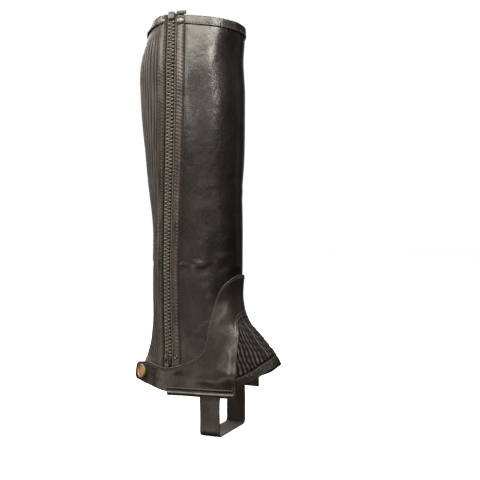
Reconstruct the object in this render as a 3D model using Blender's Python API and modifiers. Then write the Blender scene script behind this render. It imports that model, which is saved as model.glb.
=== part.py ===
"""A half chap for the right leg: a fitted leather gaiter that closes with a zip.

It is modelled as it is worn, filled out but empty. X points to the toe, -Y to the outer side
and Z up. The origin is the middle of the calf, HOLD_HEIGHT above the hem. Heights in the
tables are measured in millimetres from the hem, angles in degrees from the shin, negative on
the outer side. Distances along the girth are measured from the zip, positive towards the toe.
"""
import math
from collections import namedtuple

import bmesh
import bpy
import numpy as np
from mathutils import Matrix, Vector

MM = 0.001

# Driving sizes, in millimetres.
HOLD_HEIGHT = 340.0       # from the hem up to the origin
SEAM_GAP = 0.3            # between pieces that meet or lie on each other
PANEL_WALL = 1.8
OVERLAY_WALL = 1.6        # ankle panel and plackets
STRETCH_WALL = 1.2
ELASTIC_WALL = 1.0
BINDING_WALL = 1.2
RIB_RISE = 1.0

RIM_HEIGHT = 409.5        # round the shin and the inner side
RIM_RISE = 5.5            # how much higher the rim is beside the zip
RIM_RISE_AT = -108.0
RIM_RISE_SPREAD = 30.0
BINDING_DEPTH = 8.6

ZIP_HALF_WIDTH = 4.0
TAPE_INNER = 4.6
TAPE_OUTER = 13.4
PLACKET_NEAR = 6.6        # edge of a placket beside the zip teeth
PLACKET_FRONT_FAR = 14.4
PLACKET_REAR_FAR = 17.0
TAPE_OUT = 0.2
TAPE_WALL = 0.7
PLACKET_OUT = 1.2
CHAIN_OUT = 0.6
CHAIN_RISE = 3.0
ZIP_FOOT = 12.0           # lower end of the tapes, behind the strap
PLACKET_FOOT = 8.0
SLIDER_FOOT = 31.0
SLIDER_TALL = 13.0
SLIDER_WIDE = 9.4
SLIDER_OUT = 1.2
SLIDER_THICK = 3.2
PULL_LEAN = 5.0
BOX_TALL = 8.0
BOX_WIDE = 7.6
BOX_THICK = 3.6
BOX_ABOVE_RIM = 3.2

RIB_COUNT = 14
RIB_SAMPLES = 3
RIB_FADE_TOP = 26.0
RIB_FADE_FOOT = (34.0, 44.0)
STRETCH_FOOT = 8.0

ANKLE_OUT = 2.7           # inner face of the ankle panel over the leg form
SEAM_ALLOWANCE = 8.0      # how far the main panel goes on below the ankle panel's edge
SETTLED_HEIGHT = 200.0    # above this, the main panel's rows lie level
SETTLING_ROUNDS = 8       # a row's height and its angles depend on each other
TRIM_TALL = 9.6
TRIM_RIDGES = (2.6, 8.0)
TRIM_RIDGE_RISE = 1.0
TRIM_RIDGE_SPREAD = 1.3
TRIM_FROM = -102.0        # angles of the hem trim's ends
TRIM_TO = -58.6

STRAP_LEAVES = -132.0     # angle where the strap's end runs straight on
STRAP_END_LENGTH = 24.5
STRAP_END_HEIGHTS = (10.5, 30.0)
STRAP_CORNER = 5.0
CAP_ALONG = 10.0
CAP_HEIGHT = 20.3
CAP_RADIUS = 7.75
CAP_RISE = 2.6
SOCKET_RADIUS = 4.5
SOCKET_DEEP = 1.5

GUSSET_PITCH = 5.0
GUSSET_HALF = 60.0        # along the girth, from the ridge to the corner below the leather
GUSSET_BAND = 9.0
GUSSET_BAND_ENDS = 62.0   # angles to both sides of the ridge
GUSSET_UNDER = 4.0        # how far the elastic goes on below the leather's edge

STIRRUP_X = (21.5, 45.0)
STIRRUP_TOP = 12.0
STIRRUP_UNDER = -44.0
STIRRUP_BEND = 6.0
STIRRUP_WALL = 1.6
STIRRUP_SIDE = 37.4       # half the width below the hem

RIVET_RADIUS = 4.6
RIVET_RISE = 2.4
RIVET_FRONT_AT = 10.3     # distances from the zip
RIVET_REAR_AT = -12.2
RIVET_BELOW_RIM = 6.2
SMALL_RIVET_RADIUS = 2.6
SMALL_RIVET_RISE = 1.2
SMALL_RIVET_AT = 10.4
SMALL_RIVET_HEIGHT = 41.5

# The leg form that the panels follow: half lengths to the heel, to the toe and to each side,
# and how far the zip lies behind the outer side, in degrees.
Section = namedtuple("Section", "height rear front side zip_back")
SECTIONS = [
    Section(-10, 68.0, 120.0, 37.0, 14.6),
    Section(0, 68.0, 118.0, 37.0, 14.6),
    Section(10, 68.0, 113.5, 37.0, 14.6),
    Section(20, 66.5, 108.5, 37.5, 14.7),
    Section(30, 63.0, 101.5, 38.0, 15.0),
    Section(40, 58.0, 94.0, 38.0, 15.9),
    Section(52, 54.0, 83.0, 38.0, 17.3),
    Section(64, 52.0, 72.0, 38.0, 18.5),
    Section(78, 50.5, 59.2, 38.0, 19.8),
    Section(100, 50.3, 51.6, 38.5, 20.5),
    Section(135, 50.0, 52.0, 40.0, 20.4),
    Section(170, 48.8, 52.4, 42.5, 17.9),
    Section(220, 53.5, 50.8, 46.0, 12.7),
    Section(270, 58.5, 53.4, 51.0, 7.4),
    Section(305, 62.0, 53.8, 54.0, 4.6),
    Section(335, 63.8, 52.8, 55.5, 3.3),
    Section(357, 64.8, 51.7, 56.0, 2.8),
    Section(377, 62.0, 51.4, 55.0, 2.9),
    Section(395, 56.4, 52.8, 53.0, 3.8),
    Section(412, 51.5, 53.2, 51.0, 5.0),
    Section(422, 49.0, 53.2, 50.0, 5.7),
]

# Width of the stretch panel along the girth.
StretchWidth = namedtuple("StretchWidth", "height width")
STRETCH_WIDTHS = [
    StretchWidth(0, 58.0),
    StretchWidth(30, 56.0),
    StretchWidth(70, 47.0),
    StretchWidth(130, 48.0),
    StretchWidth(200, 54.0),
    StretchWidth(280, 68.0),
    StretchWidth(350, 78.0),
    StretchWidth(380, 76.0),
    StretchWidth(422, 62.0),
]

# How far the ankle panel's inner face stands off the leg form, by distance from the zip.
Lift = namedtuple("Lift", "distance out")
LIFTS = [
    Lift(-45, 3.4),
    Lift(-30, 3.4),
    Lift(-20, 3.8),
    Lift(-10, 5.3),
    Lift(-4, 6.0),
    Lift(4, 6.0),
    Lift(10, 5.2),
    Lift(17, 3.7),
    Lift(25, 2.8),
    Lift(32, 2.7),
    Lift(60, 2.7),
]

# The ankle panel's edges, from the shin back along the outer side.
Edge = namedtuple("Edge", "angle height")
CURVED_EDGE = [
    Edge(0, 131.5),
    Edge(-14, 130.5),
    Edge(-26, 126.5),
    Edge(-37, 118.5),
    Edge(-42.5, 110.5),
    Edge(-46.5, 102),
    Edge(-54, 87),
    Edge(-62, 72),
    Edge(-69.5, 56),
]
CURVED_EDGE_BACK = [
    Edge(-69.5, 56),
    Edge(-76, 44.5),
    Edge(-83, 38),
    Edge(-92, 32.5),
    Edge(-104, 29.6),
    Edge(-119, 30.6),
    Edge(STRAP_LEAVES, 32),
]
NOTCH_EDGE = [
    Edge(0, 83),
    Edge(-11, 82),
    Edge(-20, 78.5),
    Edge(-29, 69.5),
    Edge(-40, 56),
    Edge(-48.5, 41),
    Edge(-53.5, 25),
    Edge(-56.5, 12),
    Edge(-58.2, 0.6),
]
HEM_EDGE = [
    Edge(-58.2, 0.6),
    Edge(-80, 0.8),
    Edge(-98, 2.2),
    Edge(-114, 4.4),
    Edge(STRAP_LEAVES, 7.4),
]
INNER_EDGE_BACK = [
    Edge(-69.5, 56),
    Edge(-76, 44.5),
    Edge(-84, 38),
    Edge(-100, 34),
    Edge(-125, 33),
    Edge(-172, 33),
]
INNER_HEM_EDGE = [
    Edge(-58.2, 0.6),
    Edge(-80, 0.8),
    Edge(-105, 2.5),
    Edge(-135, 5),
    Edge(-172, 7),
]
# Height of the instep gusset's lower edge.
GUSSET_FOOT = [
    Edge(0, 33.5),
    Edge(16, 30.5),
    Edge(31, 25.5),
    Edge(44, 18.5),
    Edge(56, 12.5),
    Edge(64, 9.5),
]

LEATHER = ("chap_leather", (0.045, 0.036, 0.031), 0.42, 0.0)
STRETCH = ("stretch_fabric", (0.060, 0.050, 0.043), 0.60, 0.0)
ELASTIC = ("elastic", (0.020, 0.016, 0.017), 0.75, 0.0)
TAPE = ("zip_tape", (0.016, 0.013, 0.011), 0.85, 0.0)
ZIP_PLASTIC = ("zip_plastic", (0.050, 0.042, 0.036), 0.40, 0.0)
ZIP_METAL = ("zip_metal", (0.030, 0.026, 0.024), 0.38, 0.8)
BRASS = ("brass", (0.62, 0.42, 0.18), 0.30, 1.0)


def interpolate(knots, values, at):
    """A smooth curve through the knots, with straight ends."""
    knots = np.asarray(knots, dtype=float)
    values = np.asarray(values, dtype=float)
    steps = np.diff(knots)
    slopes = np.diff(values) / steps
    tangents = np.empty(len(knots))
    tangents[0] = slopes[0]
    tangents[-1] = slopes[-1]
    tangents[1:-1] = (slopes[:-1] * steps[1:] + slopes[1:] * steps[:-1]) / (steps[:-1] + steps[1:])
    i = int(np.clip(np.searchsorted(knots, at) - 1, 0, len(steps) - 1))
    t = (min(max(at, knots[0]), knots[-1]) - knots[i]) / steps[i]
    return ((1 + 2 * t) * (1 - t) ** 2 * values[i] + t * (1 - t) ** 2 * steps[i] * tangents[i]
            + t * t * (3 - 2 * t) * values[i + 1] + t * t * (t - 1) * steps[i] * tangents[i + 1])


def column(table, key, value, at):
    """One column of a table, read smoothly at a place in another."""
    return interpolate([getattr(row, key) for row in table], [getattr(row, value) for row in table], at)


def along(path, share):
    """The angle and height at a share of the way along a smooth edge."""
    points = np.array(path, dtype=float)
    lengths = np.hypot(*(np.diff(points, axis=0).T))
    places = np.concatenate([[0.0], np.cumsum(lengths)]) / lengths.sum()
    return interpolate(places, points[:, 0], share), interpolate(places, points[:, 1], share)


def smooth(low, high, value):
    """Rises gently from 0 at low to 1 at high."""
    t = min(max((value - low) / (high - low), 0.0), 1.0)
    return t * t * (3 - 2 * t)


def mix(low, high, share):
    return low + (high - low) * share


section_cache = {}


def section(height):
    """The half lengths of the leg form and its zip angle at a height."""
    key = round(height, 2)
    if key not in section_cache:
        names = ("rear", "front", "side", "zip_back")
        section_cache[key] = [column(SECTIONS, "height", name, height) for name in names]
    return section_cache[key]


def form_point(angle, height):
    """A point of the leg form, in millimetres from the hem."""
    rear, front, side, _ = section(height)
    turn = math.radians(angle)
    reach = front if math.cos(turn) > 0 else rear
    return Vector((reach * math.cos(turn), side * math.sin(turn), height))


def form_normal(angle, height):
    round_girth = form_point(angle + 0.5, height) - form_point(angle - 0.5, height)
    upward = form_point(angle, height + 1.0) - form_point(angle, height - 1.0)
    return round_girth.cross(upward).normalized()


def on_leg(angle, height, out=0.0):
    """A point of the finished frame, in metres, this far out from the leg form."""
    point = form_point(angle, height) + form_normal(angle, height) * out
    point.z -= HOLD_HEIGHT
    return point * MM


girth_cache = {}


def angle_at(height, distance):
    """The angle at a distance along the girth from the zip."""
    key = round(height, 1)
    if key not in girth_cache:
        rear, front, side, zip_back = section(key)
        zip_angle = -90.0 - zip_back
        angles = np.arange(-140.0, 300.0, 1.0) + zip_angle
        turns = np.radians(angles)
        reach = np.where(np.cos(turns) > 0, front, rear)
        steps = np.hypot(np.diff(reach * np.cos(turns)), np.diff(side * np.sin(turns)))
        distances = np.concatenate([[0.0], np.cumsum(steps)])
        distances -= np.interp(zip_angle, angles, distances)
        girth_cache[key] = (angles, distances)
    angles, distances = girth_cache[key]
    return float(np.interp(distance, distances, angles))


def distance_at(height, angle):
    """The distance along the girth from the zip to an angle."""
    angle_at(height, 0.0)
    angles, distances = girth_cache[round(height, 1)]
    return float(np.interp(angle, angles, distances))


def rim(angle):
    """Height of the top edge."""
    swing = (angle - RIM_RISE_AT + 180.0) % 360.0 - 180.0
    return RIM_HEIGHT + RIM_RISE * math.exp(-(swing / RIM_RISE_SPREAD) ** 2)


def zip_angle(height):
    return angle_at(height, 0.0)


def far_seam(height):
    """The angle of the seam between the stretch panel and the inner side."""
    width = column(STRETCH_WIDTHS, "height", "width", height)
    return angle_at(height, -PLACKET_REAR_FAR - SEAM_GAP - width)


def level(low, high):
    """Row heights that every tall piece shares: closer together over the ankle."""
    shared = [*range(22, 121, 14), *range(140, 321, 30), *range(342, 397, 18)]
    return [low] + [float(h) for h in shared if low + 3 < h < high - 3] + [high]


# ---------------------------------------------------------------- making objects

def clear_scene():
    for item in list(bpy.data.objects):
        bpy.data.objects.remove(item, do_unlink=True)


def new_collection(name):
    collection = bpy.data.collections.new(name)
    bpy.context.scene.collection.children.link(collection)
    return collection


def finish_of(spec):
    """A plain material from its name, colour, roughness and metallic value."""
    name, colour, roughness, metallic = spec
    material = bpy.data.materials.get(name)
    if material is None:
        material = bpy.data.materials.new(name)
        material.use_nodes = True
        shader = material.node_tree.nodes["Principled BSDF"]
        shader.inputs["Base Color"].default_value = (*colour, 1.0)
        shader.inputs["Roughness"].default_value = roughness
        shader.inputs["Metallic"].default_value = metallic
        material.diffuse_color = (*colour, 1.0)
    return material


def add_object(name, bm, finish):
    """Turn a bmesh into a named object of the half chap."""
    mesh = bpy.data.meshes.new(name)
    if bm.faces and is_closed(bm):
        bmesh.ops.recalc_face_normals(bm, faces=bm.faces)
    bm.to_mesh(mesh)
    bm.free()
    mesh.materials.append(finish_of(finish))
    mesh.shade_smooth()
    mesh.set_sharp_from_angle(angle=math.radians(40))
    item = bpy.data.objects.new(name, mesh)
    chap.objects.link(item)
    return item


def is_closed(bm):
    return all(len(edge.link_faces) == 2 for edge in bm.edges)


def cloth(name, columns, rows, place, wall, finish):
    """A panel: an open surface whose points are placed by column and row, made a wall."""
    bm = bmesh.new()
    bmesh.ops.create_grid(bm, x_segments=columns, y_segments=rows, size=0.5)
    for vertex in bm.verts:
        i = round((vertex.co.x + 0.5) * columns)
        j = round((vertex.co.y + 0.5) * rows)
        vertex.co = place(i, j)
    item = add_object(name, bm, finish)
    solidify = item.modifiers.new("wall", "SOLIDIFY")
    solidify.thickness = wall * MM
    solidify.offset = 1.0
    return item


def loft(name, rings, finish):
    """A closed body through rings of equally many points."""
    bm = bmesh.new()
    rows = [[bm.verts.new(point) for point in ring] for ring in rings]
    count = len(rows[0])
    for lower, upper in zip(rows, rows[1:]):
        for i in range(count):
            k = (i + 1) % count
            bm.faces.new((lower[i], lower[k], upper[k], upper[i]))
    bm.faces.new(list(reversed(rows[0])))
    bm.faces.new(rows[-1])
    bmesh.ops.triangulate(bm, faces=[face for face in bm.faces if len(face.verts) > 4])
    bmesh.ops.recalc_face_normals(bm, faces=bm.faces)
    return add_object(name, bm, finish)


def ribbed_cloth(name, columns, rows, place, rise, wall, finish):
    """A panel whose outer points are raised into ribs over a plain inside.

    place(i, j, out) gives a point and rise(i, j) how far its outer point is raised.
    """
    rings = []
    for j in range(rows + 1):
        outer = [place(i, j, wall + rise(i, j)) for i in range(columns + 1)]
        inner = [place(i, j, 0.0) for i in range(columns + 1)]
        rings.append(outer + inner[::-1])
    bm = bmesh.new()
    verts = [[bm.verts.new(point) for point in ring] for ring in rings]
    count = len(verts[0])
    for lower, upper in zip(verts, verts[1:]):
        for i in range(count):
            k = (i + 1) % count
            bm.faces.new((lower[i], lower[k], upper[k], upper[i]))
    for ring, back in ((verts[0], True), (verts[-1], False)):
        for i in range(columns):
            face = [ring[i], ring[i + 1], ring[count - 2 - i], ring[count - 1 - i]]
            bm.faces.new(face[::-1] if back else face)
    bmesh.ops.recalc_face_normals(bm, faces=bm.faces)
    return add_object(name, bm, finish)


def surface_frame(angle, height, out):
    """A placing matrix on the leg form: X along the girth, Y into the leg, Z up the leg."""
    normal = form_normal(angle, height)
    forward = normal.cross(Vector((0, 0, 1))) * -1.0
    forward.normalize()
    upward = normal.cross(forward) * -1.0
    turn = Matrix((forward, -normal, forward.cross(-normal))).transposed()
    return Matrix.Translation(on_leg(angle, height, out)) @ turn.to_4x4()


def block(name, size, placing, bevel, finish):
    """A rounded block, its sizes in millimetres along the placing's axes."""
    bm = bmesh.new()
    bmesh.ops.create_cube(bm, size=1.0)
    bmesh.ops.scale(bm, vec=Vector(size) * MM, verts=bm.verts)
    item = add_object(name, bm, finish)
    item.matrix_world = placing
    edge = item.modifiers.new("rounded edges", "BEVEL")
    edge.width = bevel * MM
    edge.segments = 2
    return item


def turned(name, profile, placing, steps, finish):
    """A turned piece whose axis points out of the leg: profile rows are radius and rise."""
    bm = bmesh.new()
    verts = [bm.verts.new((radius * MM, 0.0, rise * MM)) for radius, rise in profile]
    for first, second in zip(verts, verts[1:]):
        bm.edges.new((first, second))
    item = add_object(name, bm, finish)
    screw = item.modifiers.new("turned", "SCREW")
    screw.steps = steps
    screw.render_steps = steps
    screw.use_merge_vertices = True
    screw.merge_threshold = 0.00001
    outward = Matrix.Rotation(math.radians(90), 4, "X")
    item.matrix_world = placing @ outward
    return item


def domed_profile(radius, rise, lip):
    """Top to bottom: a dome with a short straight lip and a flat back."""
    dome = [(radius * math.sin(t), lip + (rise - lip) * math.cos(t))
            for t in np.radians((0, 22, 45, 68, 90))]
    dome[0] = (0.0, rise)
    return dome + [(radius, 0.0), (0.0, 0.0)]


# ---------------------------------------------------------------- the panels

def make_front_panel():
    """The smooth main panel: from the zip's front side round the shin to the far seam."""
    columns = 34
    foot = INNER_EDGE_BACK[-1].height - SEAM_ALLOWANCE
    heights = level(foot, RIM_HEIGHT)
    rows = len(heights) - 1
    def low(angle):
        swing = -abs((angle + 180.0) % 360.0 - 180.0)
        outer = angle < 0
        back = CURVED_EDGE_BACK if outer else INNER_EDGE_BACK
        edge = CURVED_EDGE + back[1:]
        knots = sorted(edge, key=lambda row: row.angle)
        return column(knots, "angle", "height", max(swing, knots[0].angle)) - SEAM_ALLOWANCE

    def place(i, j):
        share = i / columns
        height = SETTLED_HEIGHT
        for _ in range(SETTLING_ROUNDS):
            first = angle_at(height, PLACKET_FRONT_FAR + SEAM_GAP)
            last = far_seam(height) + 360.0 - math.degrees(2 * SEAM_GAP / 55.0)
            angle = mix(first, last, share)
            lift = (low(angle) - foot) * max(0.0, 1.0 - (heights[j] - foot) / (SETTLED_HEIGHT - foot))
            height = rim(angle) if j == rows else heights[j] + lift
        return on_leg(angle, height)

    cloth("front_panel", columns, rows, place, PANEL_WALL, LEATHER)


def make_stretch_panel():
    """The pleated panel behind the zip, narrowest above the ankle."""
    columns = RIB_COUNT * RIB_SAMPLES
    heights = level(STRETCH_FOOT, RIM_HEIGHT)
    rows = len(heights) - 1

    def place(i, j, out):
        height = heights[j]
        near = angle_at(height, -PLACKET_REAR_FAR - SEAM_GAP)
        angle = mix(far_seam(height), near, i / columns)
        if j == rows:
            height = rim(angle)
        return on_leg(angle, height, out)

    def rise(i, j):
        height = heights[j]
        fade = 1.0 - smooth(RIM_HEIGHT - RIB_FADE_TOP, RIM_HEIGHT - BINDING_DEPTH, height)
        fade *= smooth(*RIB_FADE_FOOT, height)
        return RIB_RISE * fade * abs(math.sin(math.pi * i / RIB_SAMPLES)) ** 0.7

    ribbed_cloth("stretch_panel", columns, rows, place, rise, STRETCH_WALL, STRETCH)


def make_strip(name, near, far, foot, top_rise, out, wall, columns, finish):
    """An upright strip beside the zip, between two distances from it."""
    heights = level(foot, RIM_HEIGHT)
    rows = len(heights) - 1

    def place(i, j):
        height = heights[j]
        angle = angle_at(height, mix(near, far, i / columns))
        if j == rows:
            height = rim(angle) + top_rise
        return on_leg(angle, height, out)

    cloth(name, columns, rows, place, wall, finish)


def make_zip():
    """Tapes, teeth, slider, pull, end box and the leather strips on both sides."""
    make_strip("zip_tape_front", TAPE_INNER, TAPE_OUTER, ZIP_FOOT, -3.0, TAPE_OUT, TAPE_WALL, 2, TAPE)
    make_strip("zip_tape_rear", -TAPE_OUTER, -TAPE_INNER, ZIP_FOOT, -3.0, TAPE_OUT, TAPE_WALL, 2, TAPE)
    make_strip("placket_front", PLACKET_NEAR, PLACKET_FRONT_FAR, PLACKET_FOOT, 0.6,
               PLACKET_OUT, OVERLAY_WALL, 2, LEATHER)
    make_strip("placket_rear", -PLACKET_REAR_FAR, -PLACKET_NEAR, PLACKET_FOOT, 0.6,
               PLACKET_OUT, OVERLAY_WALL, 2, LEATHER)

    profile = [(-1.0, 0.0), (1.0, 0.0), (1.0, 0.6), (0.7, 1.0), (-0.7, 1.0), (-1.0, 0.6)]
    top = rim(zip_angle(RIM_HEIGHT)) + BOX_ABOVE_RIM - BOX_TALL - SEAM_GAP
    rings = []
    for height in level(SLIDER_FOOT + SLIDER_TALL + SEAM_GAP, top):
        angle = zip_angle(height)
        placing = surface_frame(angle, height, CHAIN_OUT)
        rings.append([placing @ Vector((side * ZIP_HALF_WIDTH * MM, -up * CHAIN_RISE * MM, 0))
                      for side, up in profile])
    loft("zip_chain", rings, ZIP_PLASTIC)

    box_height = top + SEAM_GAP + BOX_TALL / 2
    box_at = surface_frame(zip_angle(box_height), box_height, CHAIN_OUT + BOX_THICK / 2)
    block("zip_box", (BOX_WIDE, BOX_THICK, BOX_TALL), box_at, 0.7, ZIP_PLASTIC)

    fold_height = rim(angle_at(RIM_HEIGHT, 5.6)) + 0.6 + SEAM_GAP + 1.8
    fold_at = surface_frame(angle_at(fold_height, 11.2), fold_height, PLACKET_OUT + OVERLAY_WALL / 2)
    block("tape_end", (10.4, 2.6, 3.6), fold_at, 0.9, TAPE)

    middle = SLIDER_FOOT + SLIDER_TALL / 2
    slider_at = surface_frame(zip_angle(middle), middle, SLIDER_OUT + SLIDER_THICK / 2)
    make_slider(slider_at)


def make_slider(slider_at):
    """The slider, wider at its shoulders, with the bridge that holds the pull."""
    half = Vector((SLIDER_WIDE, SLIDER_THICK, SLIDER_TALL)) * 0.5
    outline = [(-0.68, -1), (0.68, -1), (0.8, -0.5), (1, 0.45), (0.86, 1), (-0.86, 1), (-1, 0.45), (-0.8, -0.5)]
    rings = []
    for deep, shrink in ((1.0, 0.9), (0.8, 1.0), (-0.8, 1.0), (-1.0, 0.88)):
        rings.append([Vector((half.x * side * shrink, half.y * deep, half.z * up * shrink)) * MM
                      for side, up in outline])
    slider = loft("zip_slider", rings, ZIP_METAL)
    slider.matrix_world = slider_at

    face = -half.y - SEAM_GAP
    thick = 0.7
    arch = [(face - thick, 5.2), (face - 2.2, 4.6), (face - 2.9, 3.2), (face - 2.9, 0.4),
            (face - 2.2, -1.0), (face - thick, -1.6)]
    curve = bpy.data.curves.new("zip_bridge", "CURVE")
    curve.dimensions = "3D"
    curve.bevel_depth = thick * MM
    curve.bevel_resolution = 2
    curve.use_fill_caps = True
    spline = curve.splines.new("POLY")
    spline.points.add(len(arch) - 1)
    for point, (deep, up) in zip(spline.points, arch):
        point.co = (0.0, deep * MM, up * MM, 1.0)
    curve.materials.append(finish_of(ZIP_METAL))
    bridge = bpy.data.objects.new("zip_bridge", curve)
    chap.objects.link(bridge)
    bridge.matrix_world = slider_at

    # A flat pull with a slot; its top bar passes below the bridge, its end hangs behind the strap.
    wide, tall, slot_wide, slot_tall, bar = 5.0, 24.0, 2.6, 5.0, 1.2
    outline = [(-wide / 2, 0), (wide / 2, 0), (wide / 2, -tall + 1), (wide / 2 - 1, -tall),
               (1 - wide / 2, -tall), (-wide / 2, -tall + 1)]
    slot = [(-slot_wide / 2, -bar), (slot_wide / 2, -bar),
            (slot_wide / 2, -bar - slot_tall), (-slot_wide / 2, -bar - slot_tall)]
    pull_thick = 0.7
    plate = bpy.data.curves.new("zip_pull_outline", "CURVE")
    plate.dimensions = "2D"
    plate.fill_mode = "BOTH"
    plate.extrude = pull_thick / 2 * MM
    for points in (outline, slot):
        spline = plate.splines.new("POLY")
        spline.points.add(len(points) - 1)
        spline.use_cyclic_u = True
        for point, (side, up) in zip(spline.points, points):
            point.co = (side * MM, up * MM, 0.0, 1.0)
    guide = bpy.data.objects.new("zip_pull_outline", plate)
    chap.objects.link(guide)
    bpy.context.view_layer.update()
    evaluated = guide.evaluated_get(bpy.context.evaluated_depsgraph_get())
    mesh = bpy.data.meshes.new_from_object(evaluated)
    bpy.data.objects.remove(guide, do_unlink=True)
    bm = bmesh.new()
    bm.from_mesh(mesh)
    bmesh.ops.remove_doubles(bm, verts=bm.verts, dist=0.00001)
    pull = add_object("zip_pull", bm, ZIP_METAL)
    upright = Matrix.Rotation(math.radians(90 + PULL_LEAN), 4, "X")
    hang = Matrix.Translation(Vector((0.0, (face - 1.15) * MM, 2.4 * MM)))
    pull.matrix_world = slider_at @ hang @ upright


def make_top_binding():
    """The leather strip folded over the rim, from the front placket round to the rear one."""
    outer = PANEL_WALL + SEAM_GAP
    inner = -SEAM_GAP
    wall = BINDING_WALL
    crest = SEAM_GAP + wall
    profile = [(outer + wall, -BINDING_DEPTH), (outer + wall, crest - 0.7), (outer + wall - 0.6, crest),
               (inner - wall + 0.6, crest), (inner - wall, crest - 0.7), (inner - wall, -BINDING_DEPTH),
               (inner, -BINDING_DEPTH), (inner, SEAM_GAP), (outer, SEAM_GAP), (outer, -BINDING_DEPTH)]
    first = angle_at(RIM_HEIGHT, PLACKET_FRONT_FAR + 2 * SEAM_GAP)
    last = angle_at(RIM_HEIGHT, -PLACKET_REAR_FAR - 2 * SEAM_GAP) + 360.0
    steps = 60
    rings = []
    for i in range(steps + 1):
        angle = mix(first, last, i / steps)
        edge = rim(angle)
        rings.append([on_leg(angle, edge + up, out) for out, up in profile])
    loft("top_binding", rings, LEATHER)


# ---------------------------------------------------------------- the ankle

def strap_point(along_strap, height):
    """A point of the strap's straight end, past the place where it leaves the heel."""
    out = column(LIFTS, "distance", "out", -30.0)
    start = on_leg(STRAP_LEAVES, height, out)
    ahead = form_point(STRAP_LEAVES - 0.5, CAP_HEIGHT) - form_point(STRAP_LEAVES + 0.5, CAP_HEIGHT)
    return start + ahead.normalized() * along_strap * MM


def make_ankle_panel():
    """The lower overlay with its curved edge and notch, cut in one with the snap strap."""
    rows = 7
    back, notch, end = 15, 16, 6
    counts = [back, notch, notch, back, end]
    edges = np.cumsum([0] + counts)
    columns = int(edges[-1])

    def mirrored(row):
        return -row[0], row[1]

    def both_edges(i):
        """Lower and upper angle and height of a column, from the far seam to the strap."""
        if i <= edges[1]:
            share = 1.0 - i / back
            return mirrored(along(INNER_HEM_EDGE, share)), mirrored(along(INNER_EDGE_BACK, share))
        if i <= edges[2]:
            share = 1.0 - (i - edges[1]) / notch
            return mirrored(along(NOTCH_EDGE, share)), mirrored(along(CURVED_EDGE, share))
        if i <= edges[3]:
            share = (i - edges[2]) / notch
            return along(NOTCH_EDGE, share), along(CURVED_EDGE, share)
        share = (i - edges[3]) / back
        return along(HEM_EDGE, share), along(CURVED_EDGE_BACK, share)

    def place(i, j):
        # The grid runs against the girth's direction, so its columns are counted from the strap.
        i = columns - i
        if i > edges[4]:
            reach = STRAP_END_LENGTH * (i - edges[4]) / end
            share = (i - edges[4]) / end
            low = mix(HEM_EDGE[-1].height, STRAP_END_HEIGHTS[0], smooth(0, 1, share))
            high = mix(CURVED_EDGE_BACK[-1].height, STRAP_END_HEIGHTS[1], smooth(0, 1, share))
            into_corner = max(0.0, reach - (STRAP_END_LENGTH - STRAP_CORNER))
            cut = STRAP_CORNER - math.sqrt(max(STRAP_CORNER ** 2 - into_corner ** 2, 0.0))
            return strap_point(reach, mix(low + cut * 0.8, high - cut * 0.8, j / rows))
        (low_angle, low), (high_angle, high) = both_edges(i)
        angle = mix(low_angle, high_angle, j / rows)
        height = mix(low, high, j / rows)
        out = ANKLE_OUT
        if angle < 0:
            distance = distance_at(height, angle)
            out = column(LIFTS, "distance", "out", min(max(distance, -45.0), 60.0))
        return on_leg(angle, height, out)

    cloth("ankle_panel", columns, rows, place, OVERLAY_WALL, LEATHER)


def gusset_foot(angle):
    return column(GUSSET_FOOT, "angle", "height", min(abs(angle), GUSSET_FOOT[-1].angle))


def angle_from_ridge(height, distance):
    """The angle at a distance along the girth from the instep's ridge."""
    return angle_at(height, distance_at(height, 0.0) + distance)


def notch_height(distance):
    """Height of the leather's edge over the gusset, at a distance from the ridge."""
    best = min((abs(distance_at(h, -a) - distance_at(h, 0.0) - distance), h)
               for a, h in (along(NOTCH_EDGE, s / 60.0) for s in range(61)))
    return best[1]


def make_gusset():
    """Ribbed elastic over the instep: its ribs run parallel to the ridge, its band along the edge."""
    ribs = int(2 * GUSSET_HALF / GUSSET_PITCH)
    columns = ribs * RIB_SAMPLES
    rows = 6
    tops = [notch_height(abs(mix(-GUSSET_HALF, GUSSET_HALF, i / columns))) for i in range(columns + 1)]

    def spot(i, j):
        distance = mix(-GUSSET_HALF, GUSSET_HALF, i / columns)
        height = tops[i]
        for _ in range(SETTLING_ROUNDS):
            angle = angle_from_ridge(height, distance)
            low = gusset_foot(angle) + GUSSET_BAND + SEAM_GAP
            high = max(tops[i] + GUSSET_UNDER, low + 2.0)
            height = mix(low, high, j / rows)
        return angle, height

    def place(i, j, out):
        return on_leg(*spot(i, j), out)

    def rise(i, j):
        return RIB_RISE * abs(math.sin(math.pi * i / RIB_SAMPLES)) ** 0.8

    ribbed_cloth("instep_gusset", columns, rows, place, rise, ELASTIC_WALL, ELASTIC)

    band_columns = 36

    def band_place(i, j):
        angle = mix(-GUSSET_BAND_ENDS, GUSSET_BAND_ENDS, i / band_columns)
        return on_leg(angle, gusset_foot(angle) + GUSSET_BAND * j / 2)

    cloth("gusset_band", band_columns, 2, band_place, ELASTIC_WALL + 0.5, ELASTIC)


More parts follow.
